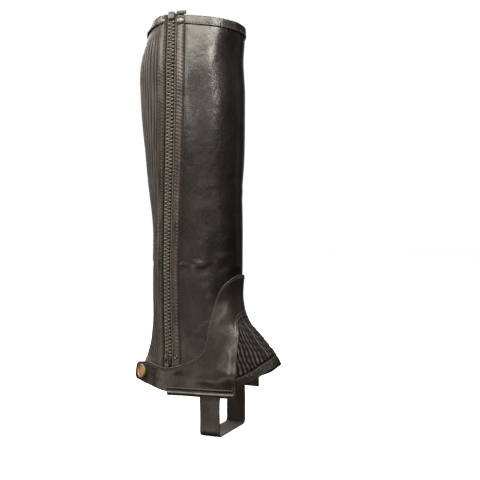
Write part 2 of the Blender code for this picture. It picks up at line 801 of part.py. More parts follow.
def make_hem_trim():
    """The strip with two raised lines along the hem, on both sides of the foot."""
    columns = 16
    rows = 8

    def build(name, first, last):
        def place(i, j, out):
            angle = mix(first, last, i / columns)
            height = -0.6 + TRIM_TALL * j / rows
            under = ANKLE_OUT
            if angle < 0:
                under = column(LIFTS, "distance", "out", min(distance_at(height, angle), 60.0))
            return on_leg(angle, height, under + OVERLAY_WALL + SEAM_GAP + out)

        def rise(i, j):
            height = -0.6 + TRIM_TALL * j / rows
            return TRIM_RIDGE_RISE * max(
                math.exp(-((height - ridge) / TRIM_RIDGE_SPREAD) ** 2) for ridge in TRIM_RIDGES)

        ribbed_cloth(name, columns, rows, place, rise, 0.8, LEATHER)

    build("hem_trim_outer", TRIM_FROM, TRIM_TO)
    build("hem_trim_inner", -TRIM_TO, -TRIM_FROM)


def make_stirrup():
    """The strap under the sole: its ends are sewn inside the ankle panel, its middle is flat."""
    columns = 4
    bend = STIRRUP_BEND
    side = STIRRUP_SIDE
    stops = [(side, STIRRUP_TOP), (side, 4.0), (side, -8.0), (side, -20.0), (side, STIRRUP_UNDER + bend)]
    stops += [(side - bend + bend * math.cos(t), STIRRUP_UNDER + bend - bend * math.sin(t))
              for t in np.radians((22.5, 45, 67.5, 90))]
    stops += [(0.0, STIRRUP_UNDER)]
    path = [(-y, z) for y, z in stops] + [(y, z) for y, z in stops[-2::-1]]
    rings = []
    for n, (y, z) in enumerate(path):
        before = path[max(n - 1, 0)]
        after = path[min(n + 1, len(path) - 1)]
        ahead = Vector((after[0] - before[0], after[1] - before[1])).normalized()
        inward = Vector((-ahead.y, ahead.x)) * STIRRUP_WALL
        follow = smooth(-20.0, 4.0, z)
        faces = []
        for share in (i / columns for i in range(columns + 1)):
            x = mix(*STIRRUP_X, share)
            rear, front, half, _ = section(max(z, 0.0))
            curved = half * math.sqrt(1.0 - (x / front) ** 2) + 0.4 + STIRRUP_WALL
            flank = mix(abs(y), curved, follow)
            faces.append((x, math.copysign(flank, y) if y else 0.0))
        outside = [Vector((x, flank, z - HOLD_HEIGHT)) * MM for x, flank in faces]
        inside = [Vector((x, flank + inward.x, z + inward.y - HOLD_HEIGHT)) * MM for x, flank in faces]
        rings.append(outside + inside[::-1])
    loft("stirrup_strap", rings, ELASTIC)


# ---------------------------------------------------------------- snaps and rivets

def make_fasteners():
    for name, distance in (("rivet_top_front", RIVET_FRONT_AT), ("rivet_top_rear", RIVET_REAR_AT)):
        height = rim(angle_at(RIM_HEIGHT, distance)) - RIVET_BELOW_RIM
        placing = surface_frame(angle_at(height, distance), height,
                                PLACKET_OUT + OVERLAY_WALL + SEAM_GAP)
        turned(name, domed_profile(RIVET_RADIUS, RIVET_RISE, 0.6), placing, 20, ZIP_METAL)
    height = SMALL_RIVET_HEIGHT
    placing = surface_frame(angle_at(height, SMALL_RIVET_AT), height, PLACKET_OUT + OVERLAY_WALL + SEAM_GAP)
    turned("rivet_bottom_front", domed_profile(SMALL_RIVET_RADIUS, SMALL_RIVET_RISE, 0.4),
           placing, 14, ZIP_METAL)

    middle = strap_point(CAP_ALONG, CAP_HEIGHT)
    ahead = (strap_point(CAP_ALONG + 1, CAP_HEIGHT) - strap_point(CAP_ALONG - 1, CAP_HEIGHT)).normalized()
    upward = (strap_point(CAP_ALONG, CAP_HEIGHT + 2) - strap_point(CAP_ALONG, CAP_HEIGHT - 2)).normalized()
    outward = upward.cross(ahead).normalized()
    if outward.y > 0:
        outward = -outward
    across = outward.cross(upward).normalized()
    turn = Matrix((across, -outward, across.cross(-outward))).transposed().to_4x4()
    on_face = Matrix.Translation(middle + outward * (OVERLAY_WALL + SEAM_GAP) * MM) @ turn
    turned("snap_cap", domed_profile(CAP_RADIUS, CAP_RISE, 0.9), on_face, 28, BRASS)
    behind = Matrix.Translation(middle - outward * (SEAM_GAP + SOCKET_DEEP) * MM) @ turn
    turned("snap_socket", [(0.0, SOCKET_DEEP), (SOCKET_RADIUS, SOCKET_DEEP), (SOCKET_RADIUS, 0.0), (0.0, 0.0)],
           behind, 20, BRASS)


clear_scene()
chap = new_collection("half_chap")
make_front_panel()
make_stretch_panel()
make_zip()
make_top_binding()
make_ankle_panel()
make_gusset()
make_hem_trim()
make_stirrup()
make_fasteners()
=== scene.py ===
import math
import bmesh
import bpy
import numpy as np
from mathutils import Matrix, Vector


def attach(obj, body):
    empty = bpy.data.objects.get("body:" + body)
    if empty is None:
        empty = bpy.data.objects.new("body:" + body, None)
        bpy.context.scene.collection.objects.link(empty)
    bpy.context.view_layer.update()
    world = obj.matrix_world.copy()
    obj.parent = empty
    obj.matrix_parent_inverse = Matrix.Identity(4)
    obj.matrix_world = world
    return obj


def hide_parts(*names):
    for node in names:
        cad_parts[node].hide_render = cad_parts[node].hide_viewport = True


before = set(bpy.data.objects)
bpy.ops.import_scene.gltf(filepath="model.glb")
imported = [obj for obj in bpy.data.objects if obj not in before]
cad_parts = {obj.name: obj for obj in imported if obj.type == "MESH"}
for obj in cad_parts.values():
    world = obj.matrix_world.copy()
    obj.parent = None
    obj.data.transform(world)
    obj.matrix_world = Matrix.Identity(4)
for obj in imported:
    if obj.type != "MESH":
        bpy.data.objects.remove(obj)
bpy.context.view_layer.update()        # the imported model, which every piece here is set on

mm = 0.001

# Sizes are in millimetres. Heights are measured from the hem, angles in degrees from the shin (negative on
# the outer side), and distances along the girth from the zip, positive towards the toe.
leg = {
    "holdHeight": 340.0,          # the frame's origin lies this far above the hem
    "rimHeight": 409.5,
    "rimRise": 5.5,               # the rim is highest near the zip
    "rimRiseAt": -108.0,
    "rimRiseSpread": 30.0,
    # height, half lengths to the heel, to the toe and to each side, and how far back the zip lies
    "sections": [
        (-10, 68.0, 120.0, 37.0, 14.6), (0, 68.0, 118.0, 37.0, 14.6), (10, 68.0, 113.5, 37.0, 14.6),
        (20, 66.5, 108.5, 37.5, 14.7), (30, 63.0, 101.5, 38.0, 15.0), (40, 58.0, 94.0, 38.0, 15.9),
        (52, 54.0, 83.0, 38.0, 17.3), (64, 52.0, 72.0, 38.0, 18.5), (78, 50.5, 59.2, 38.0, 19.8),
        (100, 50.3, 51.6, 38.5, 20.5), (135, 50.0, 52.0, 40.0, 20.4), (170, 48.8, 52.4, 42.5, 17.9),
        (220, 53.5, 50.8, 46.0, 12.7), (270, 58.5, 53.4, 51.0, 7.4), (305, 62.0, 53.8, 54.0, 4.6),
        (335, 63.8, 52.8, 55.5, 3.3), (357, 64.8, 51.7, 56.0, 2.8), (377, 62.0, 51.4, 55.0, 2.9),
        (395, 56.4, 52.8, 53.0, 3.8), (412, 51.5, 53.2, 51.0, 5.0), (422, 49.0, 53.2, 50.0, 5.7)],
}
gap = 0.3                         # between pieces that meet


def through(knots, values, at):   # a smooth curve through the knots, flat past its ends
    knots, values, at = (np.asarray(x, dtype=float) for x in (knots, values, at))
    steps = np.diff(knots)
    slopes = np.diff(values) / steps
    inner = (slopes[:-1] * steps[1:] + slopes[1:] * steps[:-1]) / (steps[:-1] + steps[1:])
    tangents = np.concatenate([[slopes[0]], inner, [slopes[-1]]])
    at = np.clip(at, knots[0], knots[-1])
    i = np.clip(np.searchsorted(knots, at) - 1, 0, len(steps) - 1)
    t = (at - knots[i]) / steps[i]
    return ((1 + 2 * t) * (1 - t) ** 2 * values[i] + t * (1 - t) ** 2 * steps[i] * tangents[i]
            + t * t * (3 - 2 * t) * values[i + 1] + t * t * (t - 1) * steps[i] * tangents[i + 1])


def mix(low, high, share):
    return low + (high - low) * share


def smooth(low, high, value):
    t = np.clip((value - low) / (high - low), 0.0, 1.0)
    return t * t * (3 - 2 * t)


def bell(x, spread):
    return np.exp(-(x / spread) ** 2)


def unit(ways):
    return ways / np.linalg.norm(ways, axis=-1, keepdims=True)


sections = np.array(leg["sections"]).T


def sectionAt(height):
    return [through(sections[0], column, height) for column in sections[1:]]


def formPoint(angle, height):
    rear, front, side, _ = sectionAt(height)
    turn = np.radians(angle)
    reach = np.where(np.cos(turn) > 0, front, rear)
    return np.stack([reach * np.cos(turn), side * np.sin(turn), height + 0 * angle], -1)


def formNormal(angle, height):
    roundIt = formPoint(angle + 0.5, height) - formPoint(angle - 0.5, height)
    upward = formPoint(angle, height + 1.0) - formPoint(angle, height - 1.0)
    return unit(np.cross(roundIt, upward))


# tables of the distance along the girth for each height and angle, and the other way round
knownHeights = np.arange(-60.0, 434.0)
knownTurns = np.arange(-160.0, 321.0)
knownDistances = np.arange(-190.0, 331.0)
zipAngles = -90.0 - sectionAt(knownHeights)[3]
tableAngles = zipAngles[:, None] + knownTurns
tablePoints = formPoint(tableAngles, knownHeights[:, None])
tableSteps = np.linalg.norm(np.diff(tablePoints[..., :2], axis=1), axis=-1)
distanceTable = np.concatenate([np.zeros((len(knownHeights), 1)), np.cumsum(tableSteps, axis=1)], axis=1)
distanceTable -= distanceTable[:, [160]]
turnTable = np.array([np.interp(knownDistances, row, knownTurns) for row in distanceTable])


def lookUp(table, row, column):
    row = np.clip(row, 0, table.shape[0] - 1.001)
    column = np.clip(column, 0, table.shape[1] - 1.001)
    i, j = row.astype(int), column.astype(int)
    down, over = row - i, column - j
    left = mix(table[i, j], table[i + 1, j], down)
    right = mix(table[i, j + 1], table[i + 1, j + 1], down)
    return mix(left, right, over)


def zipAngle(height):
    return -90.0 - sectionAt(height)[3]


def angleAt(height, distance):
    height, distance = np.broadcast_arrays(np.asarray(height, dtype=float), np.asarray(distance, dtype=float))
    return zipAngle(height) + lookUp(turnTable, height - knownHeights[0], distance - knownDistances[0])


def distanceAt(height, angle):
    height, angle = np.broadcast_arrays(np.asarray(height, dtype=float), np.asarray(angle, dtype=float))
    return lookUp(distanceTable, height - knownHeights[0], angle - zipAngle(height) - knownTurns[0])


def rim(angle):
    swing = (angle - leg["rimRiseAt"] + 180.0) % 360.0 - 180.0
    return leg["rimHeight"] + leg["rimRise"] * bell(swing, leg["rimRiseSpread"])


# Creases and soft dents that every layer follows: where the middle is (distance from the zip, height), half
# length, half width, tilt in degrees, bend of the ends, and rise (a trough where it is below zero).
wear = {
    "creases": [
        (68, 86, 26, 12, 9, 0, 1.5), (71, 57, 26, 11, 8, 0, -0.7), (72, 19, 24, 12, 8, 0, 2.2),
        (43, 160, 36, 7, 86, 3, 1.3), (41, 229, 17, 5, 5, 2, 0.22), (42, 215, 18, 5.5, -3, 1, -0.26), (37, 203, 17, 5, 4, 2.5, 0.2),
        (20, 146, 9, 1.3, 3, 0.5, 0.55), (20, 143.5, 10, 1.6, 3, 0.5, -0.45),
        (40, 143.5, 14, 3.4, -6, 2.5, 1.5), (46, 128, 22, 9, -4, 2, -1.2), (62, 150, 14, 5, 12, 3, 0.7),
        (66, 140, 13, 4, 10, 2, -0.6), (40, 85, 8, 1.5, 5, 0.8, 0.35), (38, 82.6, 8, 1.6, 6, 0.8, -0.4),
        (39, 73, 10, 1.8, 10, 1, 0.45), (38, 69.5, 10, 2, 9, 1, -0.45), (38, 48, 6, 1.6, 50, 0.6, 0.30),
        (40, 46, 6, 2, 48, 0.6, -0.30), (50, 120, 20, 7, 70, 3, 0.8), (32, 110, 24, 8, 84, 2, -0.6),
        (86, 236, 22, 4, -6, 3, -0.6), (94, 224, 24, 4, 4, -2.5, 0.55), (82, 132, 20, 4.2, 3, 3, -0.75),
        (84, 141, 18, 4, -2, 2, 0.6), (76, 176, 26, 8, 60, 5, 0.7), (66, 300, 40, 10, 82, 4, -0.7),
        (44, 368, 26, 9, 76, 3, 0.6), (30, 330, 30, 9, 88, -3, -0.45), (128, 240, 20, 3.4, 5, 2, -0.6),
        (133, 232, 18, 3.2, -3, 1.5, 0.5), (140, 205, 22, 3.4, 6, -2, -0.65), (150, 214, 15, 3.2, 2, 1.5, 0.45),
        (138, 150, 16, 3.6, -6, 2, 0.9), (142, 141, 17, 3.8, 3, 2.5, -0.9), (168, 176, 20, 5, 30, 3, 0.5),
        (172, 128, 14, 3.6, 12, 2, -0.6), (120, 320, 36, 10, 80, 3, -0.6), (160, 350, 30, 9, 96, 3, 0.6),
        (150, 84, 11, 1.9, -8, 1, 0.5), (152, 80, 11, 2, -8, 1, -0.45), (146, 60, 12, 2.2, -30, 1.2, 0.55),
        (-30, 96, 10, 2.6, 4, 1.5, -0.5), (-44, 150, 14, 3.2, -5, 2, 0.55), (-40, 143, 14, 3.2, -4, 2, -0.6),
        (-56, 206, 16, 3.4, 6, 2, -0.55), (-36, 232, 13, 3, 2, 1.5, 0.45),
    ],
    "footFade": (-4, 12),             # heights between which the relief sets in and dies out
    "topFade": (388, 404),
    "waves": [(0.020, 0.090, 0.4, 0.16), (0.061, -0.035, 1.9, 0.12), (-0.034, 0.062, 3.3, 0.14),
              (0.110, 0.047, 5.1, 0.07), (0.078, -0.131, 0.9, 0.06)],
}


def crease(over, up, half, wide, tilt, bend, rise):       # its lift at a place seen from its middle
    turn = math.radians(tilt)
    run = (over * math.cos(turn) + up * math.sin(turn)) / half
    off = up * math.cos(turn) - over * math.sin(turn) - bend * run ** 2
    return rise * bell(off, wide) * np.clip(1 - run ** 2, 0, 1) ** 2


def reliefAt(distance, height):   # millimetres out, the same for each layer
    total = np.zeros(np.broadcast(distance, height).shape)
    for acrossAt, upAt, *form in wear["creases"]:
        total = total + crease(distance - acrossAt, height - upAt, *form)
    for over, up, start, rise in wear["waves"]:
        total = total + rise * np.sin(over * distance + up * height + start)
    return total * smooth(*wear["footFade"], height) * (1 - smooth(*wear["topFade"], height))


def onLeg(angle, height, out=0.0):    # metres in the frame, this many millimetres out from the leg form
    angle, height = np.broadcast_arrays(np.asarray(angle, dtype=float), np.asarray(height, dtype=float))
    out = out + reliefAt(distanceAt(height, angle), height)
    points = formPoint(angle, height) + formNormal(angle, height) * out[..., None]
    points[..., 2] -= leg["holdHeight"]
    return points * mm


def legFrame(angle, height, out):     # places on the leg with their ways along the girth, out and up
    point = onLeg(angle, height, out)
    normal = formNormal(np.asarray(angle, dtype=float), np.asarray(height, dtype=float))
    forward = unit(np.cross(np.array([0.0, 0.0, 1.0]), normal))
    return point, forward, normal, np.cross(normal, forward)


def placing(angle, height, out):      # a matrix on the leg: X along the girth, Y into the leg, Z up
    point, forward, normal, upward = (Vector(x) for x in legFrame(angle, height, out))
    turn = Matrix((forward, -normal, upward)).transposed()
    return Matrix.Translation(point) @ turn.to_4x4()


def addMesh(name, points, faces, finishes, looks=None, values=None):
    mesh = bpy.data.meshes.new(name)
    mesh.from_pydata(np.asarray(points).tolist(), [], [list(map(int, face)) for face in faces])
    for finish in finishes:
        mesh.materials.append(finish)
    if looks is not None:
        mesh.polygons.foreach_set("material_index", np.asarray(looks, dtype=np.int32))
    for key, numbers in (values or {}).items():
        mesh.attributes.new(key, "FLOAT", "POINT").data.foreach_set("value", np.asarray(numbers, dtype=np.float32))
    mesh.shade_smooth()
    mesh.update()
    piece = bpy.data.objects.new(name, mesh)
    chap.objects.link(piece)
    return piece


def lengthAlong(points):
    steps = np.linalg.norm(np.diff(points, axis=0), axis=-1)
    return np.concatenate([[0.0], np.cumsum(steps)])


def shell(name, place, columns, rows, wall, finishes, rise=None, rounding=0.8, fluted=None):
    # A panel with rounded edges: place(u, v, out) gives its points, u along the girth and v up.
    # rise(u, v, left, right, foot, top) lifts the outer face; the last four are the distances to the edges.
    ends = np.array([0.0, 0.1, 0.4, 1.0]) * rounding
    probe = np.linspace(0.0, 1.0, 80)
    wide = lengthAlong(place(probe, 0.5 + 0 * probe, 0 * probe))[-1] / mm

    def shares(count, size):
        near = ends / size
        middle = np.linspace(near[..., -1], 1 - near[..., -1], count + 1, axis=-1)[..., 1:-1]
        return np.concatenate([near, middle, 1 - near[..., ::-1]], axis=-1)

    across = shares(columns, wide)
    rungs = np.linspace(0.0, 1.0, 12)[:, None]
    column = place(across + 0 * rungs, rungs + 0 * across, 0 * (across + rungs))
    tall = np.linalg.norm(np.diff(column, axis=0), axis=-1).sum(axis=0) / mm
    v = shares(rows, tall[:, None])
    u = across[:, None] + 0 * v
    left, right, foot, top = u * wide, (1 - u) * wide, v * tall[:, None], (1 - v) * tall[:, None]
    inset = np.minimum(np.minimum(left, right), np.minimum(foot, top))
    reach = 1 - np.clip(inset / rounding, 0, 1)
    drop = wall / 2 * (1 - np.sqrt(np.clip(1 - reach ** 2, 0, 1)))
    lift = np.zeros(u.shape) if rise is None else rise(u, v, left, right, foot, top) * smooth(0, rounding, inset)
    outer = place(u, v, wall - drop + lift)
    inner = place(u, v, drop)

    n, m = u.shape
    front = np.arange(n * m).reshape(n, m)
    back = front.copy()
    back[1:-1, 1:-1] = n * m + np.arange((n - 2) * (m - 2)).reshape(n - 2, m - 2)
    quads = [np.stack([g[:-1, :-1], g[1:, :-1], g[1:, 1:], g[:-1, 1:]], -1).reshape(-1, 4) for g in (front, back)]
    points = np.concatenate([outer.reshape(-1, 3), inner[1:-1, 1:-1].reshape(-1, 3)])
    hidden = (inset[:-1, :-1] > rounding * 0.9) | (inset[1:, 1:] > rounding * 0.9)
    looks = np.concatenate([np.zeros(len(quads[0])), hidden.reshape(-1) * (len(finishes) - 1)])
    # fluted is kept on the points and scales the painted groove shade of the stretch and elastic finishes
    values = {key: np.concatenate([x.reshape(-1), x[1:-1, 1:-1].reshape(-1)])
              for key, x in (("inset", inset), ("across", left), ("upward", foot), ("lift", lift),
                             ("fluted", np.ones(u.shape) if fluted is None else fluted(u, v)))}
    return addMesh(name, points, np.concatenate([quads[0], quads[1][:, ::-1]]), finishes, looks, values)


def ringQuads(n, m):              # the faces between n rings of m points
    grid = np.arange(n * m).reshape(n, m)
    grid = np.concatenate([grid, grid[:, :1]], axis=1)
    return np.stack([grid[:-1, :-1], grid[:-1, 1:], grid[1:, 1:], grid[1:, :-1]], -1).reshape(-1, 4)


def swept(name, rings, finishes, values=None):        # a body through rings of equally many points
    rings = np.asarray(rings)
    n, m = rings.shape[:2]
    faces = ringQuads(n, m).tolist() + [list(range(m))[::-1], list(range((n - 1) * m, n * m))]
    return addMesh(name, rings.reshape(-1, 3), faces, finishes, None, values)


def turned(name, profile, matrix, steps, finish):
    # The profile is radius and rise, from the top down; the axis is the matrix's -Y.
    profile = np.array(profile, dtype=float)
    turns = np.linspace(0, 2 * np.pi, steps, endpoint=False)
    rings = np.stack([profile[:, :1] * np.cos(turns), -profile[:, 1:] + 0 * turns,
                      profile[:, :1] * np.sin(turns)], -1)
    piece = swept(name, rings * mm, [finish])
    tidyUp(piece)
    piece.matrix_world = matrix
    return piece


def tidyUp(piece, distance=0.00002):      # welds doubled points and turns the faces outwards
    bm = bmesh.new()
    bm.from_mesh(piece.data)
    bmesh.ops.remove_doubles(bm, verts=bm.verts, dist=distance)
    bmesh.ops.recalc_face_normals(bm, faces=bm.faces)
    bm.to_mesh(piece.data)
    bm.free()


fineWeld = 0.000005


def slab(name, outline, half, steps, matrix, finish):      # an outline lofted from back to front: depth and share
    rings = [np.stack([outline[:, 0] * half[0] * share, half[1] * deep + 0 * outline[:, 0],
                       outline[:, 1] * half[2] * share], -1) * mm for deep, share in steps]
    piece = swept(name, rings, [finish])
    tidyUp(piece, fineWeld)
    piece.matrix_world = matrix
    return piece


def tube(name, path, radius, sides, finish):
    path = np.asarray(path, dtype=float)
    ahead = unit(np.gradient(path, axis=0))
    helper = np.array([0.31, 0.87, 0.38]) if abs(ahead[0] @ [0, 0, 1]) > 0.5 else np.array([0.0, 0.0, 1.0])
    first = unit(np.cross(ahead, helper))
    second = np.cross(ahead, first)
    turns = np.linspace(0, 2 * np.pi, sides, endpoint=False)[:, None]
    rings = [p + radius * mm * (a * np.cos(turns) + b * np.sin(turns)) for p, a, b in zip(path, first, second)]
    return swept(name, rings, [finish])


def stitches(name, tracks, pitch, long, radius, finish):
    # Each track is points and outward ways along a seam. A stitch rises from its hole and dives into the next.
    shape = np.array([(0.0, -0.5, 0.6), (0.14, 0.15, 1.0), (0.5, 0.6, 1.1), (0.86, 0.15, 1.0), (1.0, -0.5, 0.6)])
    rows, sides = len(shape), 6
    turns = np.linspace(0, 2 * np.pi, sides, endpoint=False)
    allPoints, allFaces, allTwist, count = [], [], [], 0
    for points, outward in tracks:
        reach = lengthAlong(points) / mm
        starts = np.arange(pitch * 0.3, reach[-1] - long, pitch)
        if not len(starts):
            continue
        at = starts[:, None] + shape[:, 0] * long
        place = np.stack([np.interp(at, reach, points[:, k]) for k in range(3)], -1)
        out = np.stack([np.interp(at, reach, outward[:, k]) for k in range(3)], -1)
        out = unit(out)
        ahead = unit(np.gradient(place, axis=1))
        aside = np.cross(out, ahead)
        centre = place + out * (shape[:, 1] * radius * mm)[:, None]
        thick = (shape[:, 2] * radius * mm)[:, None, None]
        ring = centre[:, :, None] + thick * (aside[:, :, None] * np.cos(turns)[:, None]
                                             + out[:, :, None] * np.sin(turns)[:, None])
        number = len(starts)
        index = np.arange(number * rows * sides).reshape(number, rows, sides) + count
        wrapped = np.concatenate([index, index[:, :, :1]], axis=2)
        quads = np.stack([wrapped[:, :-1, :-1], wrapped[:, :-1, 1:], wrapped[:, 1:, 1:], wrapped[:, 1:, :-1]], -1)
        allFaces += quads.reshape(-1, 4).tolist() + index[:, 0, ::-1].tolist() + index[:, -1].tolist()
        allPoints.append(ring.reshape(-1, 3))
        allTwist.append(np.repeat(at.reshape(-1), sides))
        count += number * rows * sides
    return addMesh(name, np.concatenate(allPoints), allFaces, [finish], None, {"twist": np.concatenate(allTwist)})


# Shader nodes

class Wire:               # a node's output, so that values can be added, multiplied and so on
    def __init__(self, finish, socket):
        self.finish = finish
        self.socket = socket

    def maths(self, operation, *values):
        return self.finish.node("Math", {"operation": operation}, dict(enumerate(values)))

    def __add__(self, other):
        return self.maths("ADD", self, other)

    def __radd__(self, other):
        return self.maths("ADD", other, self)

    def __sub__(self, other):
        return self.maths("SUBTRACT", self, other)

    def __rsub__(self, other):
        return self.maths("SUBTRACT", other, self)

    def __mul__(self, other):
        return self.maths("MULTIPLY", self, other)

    def __rmul__(self, other):
        return self.maths("MULTIPLY", other, self)

    def __pow__(self, other):
        return self.maths("POWER", self, other)


class Nodes:
    def __init__(self, tree):
        self.tree = tree

    def node(self, kind, settings=None, sockets=None, output=0):
        made = self.tree.nodes.new("ShaderNode" + kind)
        for key, value in (settings or {}).items():
            setattr(made, key, value)
        for key, value in (sockets or {}).items():
            if isinstance(value, Wire):
                self.tree.links.new(value.socket, made.inputs[key])
            else:
                made.inputs[key].default_value = value
        return Wire(self, made.outputs[output]) if made.outputs else None


class Finish(Nodes):      # a material and the nodes that feed its shader
    def __init__(self, name, fixed):
        self.material = bpy.data.materials.new(name)
        self.material.use_nodes = True
        super().__init__(self.material.node_tree)
        self.shader = self.tree.nodes["Principled BSDF"]
        for socket, value in fixed.items():
            self.shader.inputs[socket].default_value = value
        self.spot = self.node("TexCoord", output=3)

    def noise(self, scale, detail=3.0, rough=0.55, at=None, distortion=0.0):
        return self.node("TexNoise", None, {"Vector": at or self.spot, "Scale": scale, "Detail": detail,
                                            "Roughness": rough, "Distortion": distortion})

    def stretched(self, x, y, z):
        return self.node("VectorMath", {"operation": "MULTIPLY"}, {0: self.spot, 1: (x, y, z)})

    def value(self, name):                 # a number kept on the mesh's points
        return self.node("Attribute", {"attribute_name": name}, output=2)

    def ramp(self, value, low, high, first=0.0, last=1.0):
        limits = {0: value, 1: low, 2: high, 3: first, 4: last}
        return self.node("MapRange", {"interpolation_type": "SMOOTHSTEP"}, limits)

    def sine(self, value, pitch):          # from 0 to 1 and back over each pitch
        return value.maths("SINE", value * (2 * math.pi / pitch)) * 0.5 + 0.5

    def blend(self, factor, first, second):
        first, second = ((*c, 1.0) if isinstance(c, tuple) else c for c in (first, second))
        return self.node("Mix", {"data_type": "RGBA"}, {0: factor, 6: first, 7: second}, 2)

    def bump(self, height, distance, strength=1.0, under=None):
        sockets = {"Strength": strength, "Distance": distance * mm, "Height": height}
        if under is not None:
            sockets["Normal"] = under
        return self.node("Bump", None, sockets)

    def feed(self, **wires):
        for key, wire in wires.items():
            name = {"colour": "Base Color", "roughness": "Roughness", "metallic": "Metallic", "normal": "Normal",
                    "coat": "Coat Weight"}[key]
            self.tree.links.new(wire.socket, self.shader.inputs[name])
        return self.material


leatherLook = {
    "deep": (0.0020, 0.0016, 0.0014),
    "warm": (0.0056, 0.0044, 0.0036),
    # colour of rubbed wear, also used as the painted highlight on raised ridges
    "rubbedAndHighlit": (0.050, 0.041, 0.033),
    "roughness": 0.275,
    "roughnessRange": 0.10,
    "grainPerMetre": 1150,
    "grainDepth": 0.045,
    "cockle": 0.9,
    "polish": 0.42,
    # the edge colour is painted in a band beside each seam: painted shade where it is dark, a painted highlight where
    # it is light (ankle panel)
    "edge": (0.004, 0.0034, 0.003),       # colour beside a seam
    "edgeShare": 0.85,
    "edgeWidth": 1.3,
    "edgeDull": 0.45,
    "hollowShade": (-0.55, -0.05),             # lift below which painted shade darkens the hollows
    "crest": (3.0, 4.0),                  # lift from which ridges are rubbed lighter and given a painted highlight
}


def makeLeather(name, look):
    finish = Finish(name, {"Specular IOR Level": 0.5, "Coat Roughness": 0.28})
    patches = finish.noise(24, 4, 0.6)
    streaks = finish.noise(1.0, 3, 0.6, finish.stretched(120, 120, 26))
    fine = finish.noise(2600, 3, 0.6)
    cells = finish.node("TexVoronoi", {"feature": "F1"}, {"Vector": finish.spot, "Scale": look["grainPerMetre"]})
    # mask of the band beside the seams that takes the painted edge shade, or on the ankle panel the painted edge
    # highlight
    edge = finish.ramp(finish.value("inset"), 0.15, look["edgeWidth"], 1.0, 0.0)
    # painted shade: the colour darkens towards the deep colour in hollows, creases and stitch grooves, where shade
    # falls
    hollowShade = finish.ramp(finish.value("lift"), *look["hollowShade"], 1.0, 0.0)
    scuffs = finish.ramp(finish.noise(210, 5, 0.7), 0.60, 0.78)
    tone = finish.ramp(patches * 0.65 + streaks * 0.35, 0.34, 0.66)
    colour = finish.blend(tone, look["deep"], look["warm"])
    colour = finish.blend(scuffs * 0.10, colour, look["rubbedAndHighlit"])
    colour = finish.blend(hollowShade * 0.75, colour, look["deep"])
    colour = finish.blend(edge * look["edgeShare"], colour, look["edge"])
    # rubbed wear and a painted highlight: raised ridges lighten towards the rubbed colour
    colour = finish.blend(finish.ramp(finish.value("lift"), *look["crest"]) * 0.8, colour, look["rubbedAndHighlit"])
    roughness = look["roughness"] + patches * look["roughnessRange"] + fine * 0.05 + scuffs * 0.08 + hollowShade * 0.4
    roughness = roughness + edge * look["edgeDull"]
    grain = finish.bump(cells * 0.7 + fine * 0.5, look["grainDepth"], 0.55)
    creased = finish.noise(1.0, 4, 0.6, finish.stretched(180, 180, 320), 0.6)
    cockle = finish.noise(1.0, 3, 0.5, finish.stretched(70, 70, 55), 0.3)
    normal = finish.bump(finish.ramp(creased, 0.3, 0.7), 0.12, 0.32, grain)
    normal = finish.bump(cockle, look["cockle"], 1.0, normal)
    polish = finish.noise(1.0, 5, 0.65, finish.stretched(55, 55, 40), 0.8) * 0.7 + streaks * 0.3
    coat = finish.ramp(polish, 0.38, 0.64, 0.0, look["polish"])
    return finish.feed(colour=colour, roughness=roughness, coat=coat, normal=normal)


def makeFlesh(name):      # the unfinished side of the leather
    finish = Finish(name, {"Specular IOR Level": 0.25, "Sheen Weight": 0.25, "Sheen Roughness": 0.6})
    nap = finish.noise(900, 5, 0.7)
    patches = finish.noise(40, 3)
    tone = finish.ramp(nap * 0.6 + patches * 0.4, 0.3, 0.7)
    colour = finish.blend(tone, (0.038, 0.030, 0.025), (0.080, 0.062, 0.050))
    return finish.feed(colour=colour, roughness=0.82 + nap * 0.12, normal=finish.bump(nap, 0.25, 0.7))


def makeStretch(name):
    finish = Finish(name, {"Specular IOR Level": 0.32, "Sheen Weight": 0.06, "Sheen Roughness": 0.5})
    across, upward = finish.value("across"), finish.value("upward")
    knit = finish.sine(across, 0.62) * finish.sine(upward, 0.55)
    patches = finish.noise(45, 4, 0.6)
    fine = finish.noise(1700, 3)
    colour = finish.blend(finish.ramp(patches, 0.35, 0.65), (0.0260, 0.0195, 0.0168), (0.0480, 0.0364, 0.0312))
    colour = finish.blend(knit * 0.2, colour, (0.056, 0.046, 0.038))
    # painted shade: the pleat grooves are darkened to near black where shade falls between the folds
    groove = finish.ramp(finish.value("lift"), 0.34, 0.84, 1.0, 0.0) * finish.value("fluted")
    colour = finish.blend(groove * 0.96, colour, (0.0020, 0.0015, 0.0012))
    roughness = 0.44 + patches * 0.12 - knit * 0.05 + groove * 0.45
    return finish.feed(colour=colour, roughness=roughness, normal=finish.bump(knit * 0.8 + fine * 0.3, 0.08, 0.6))


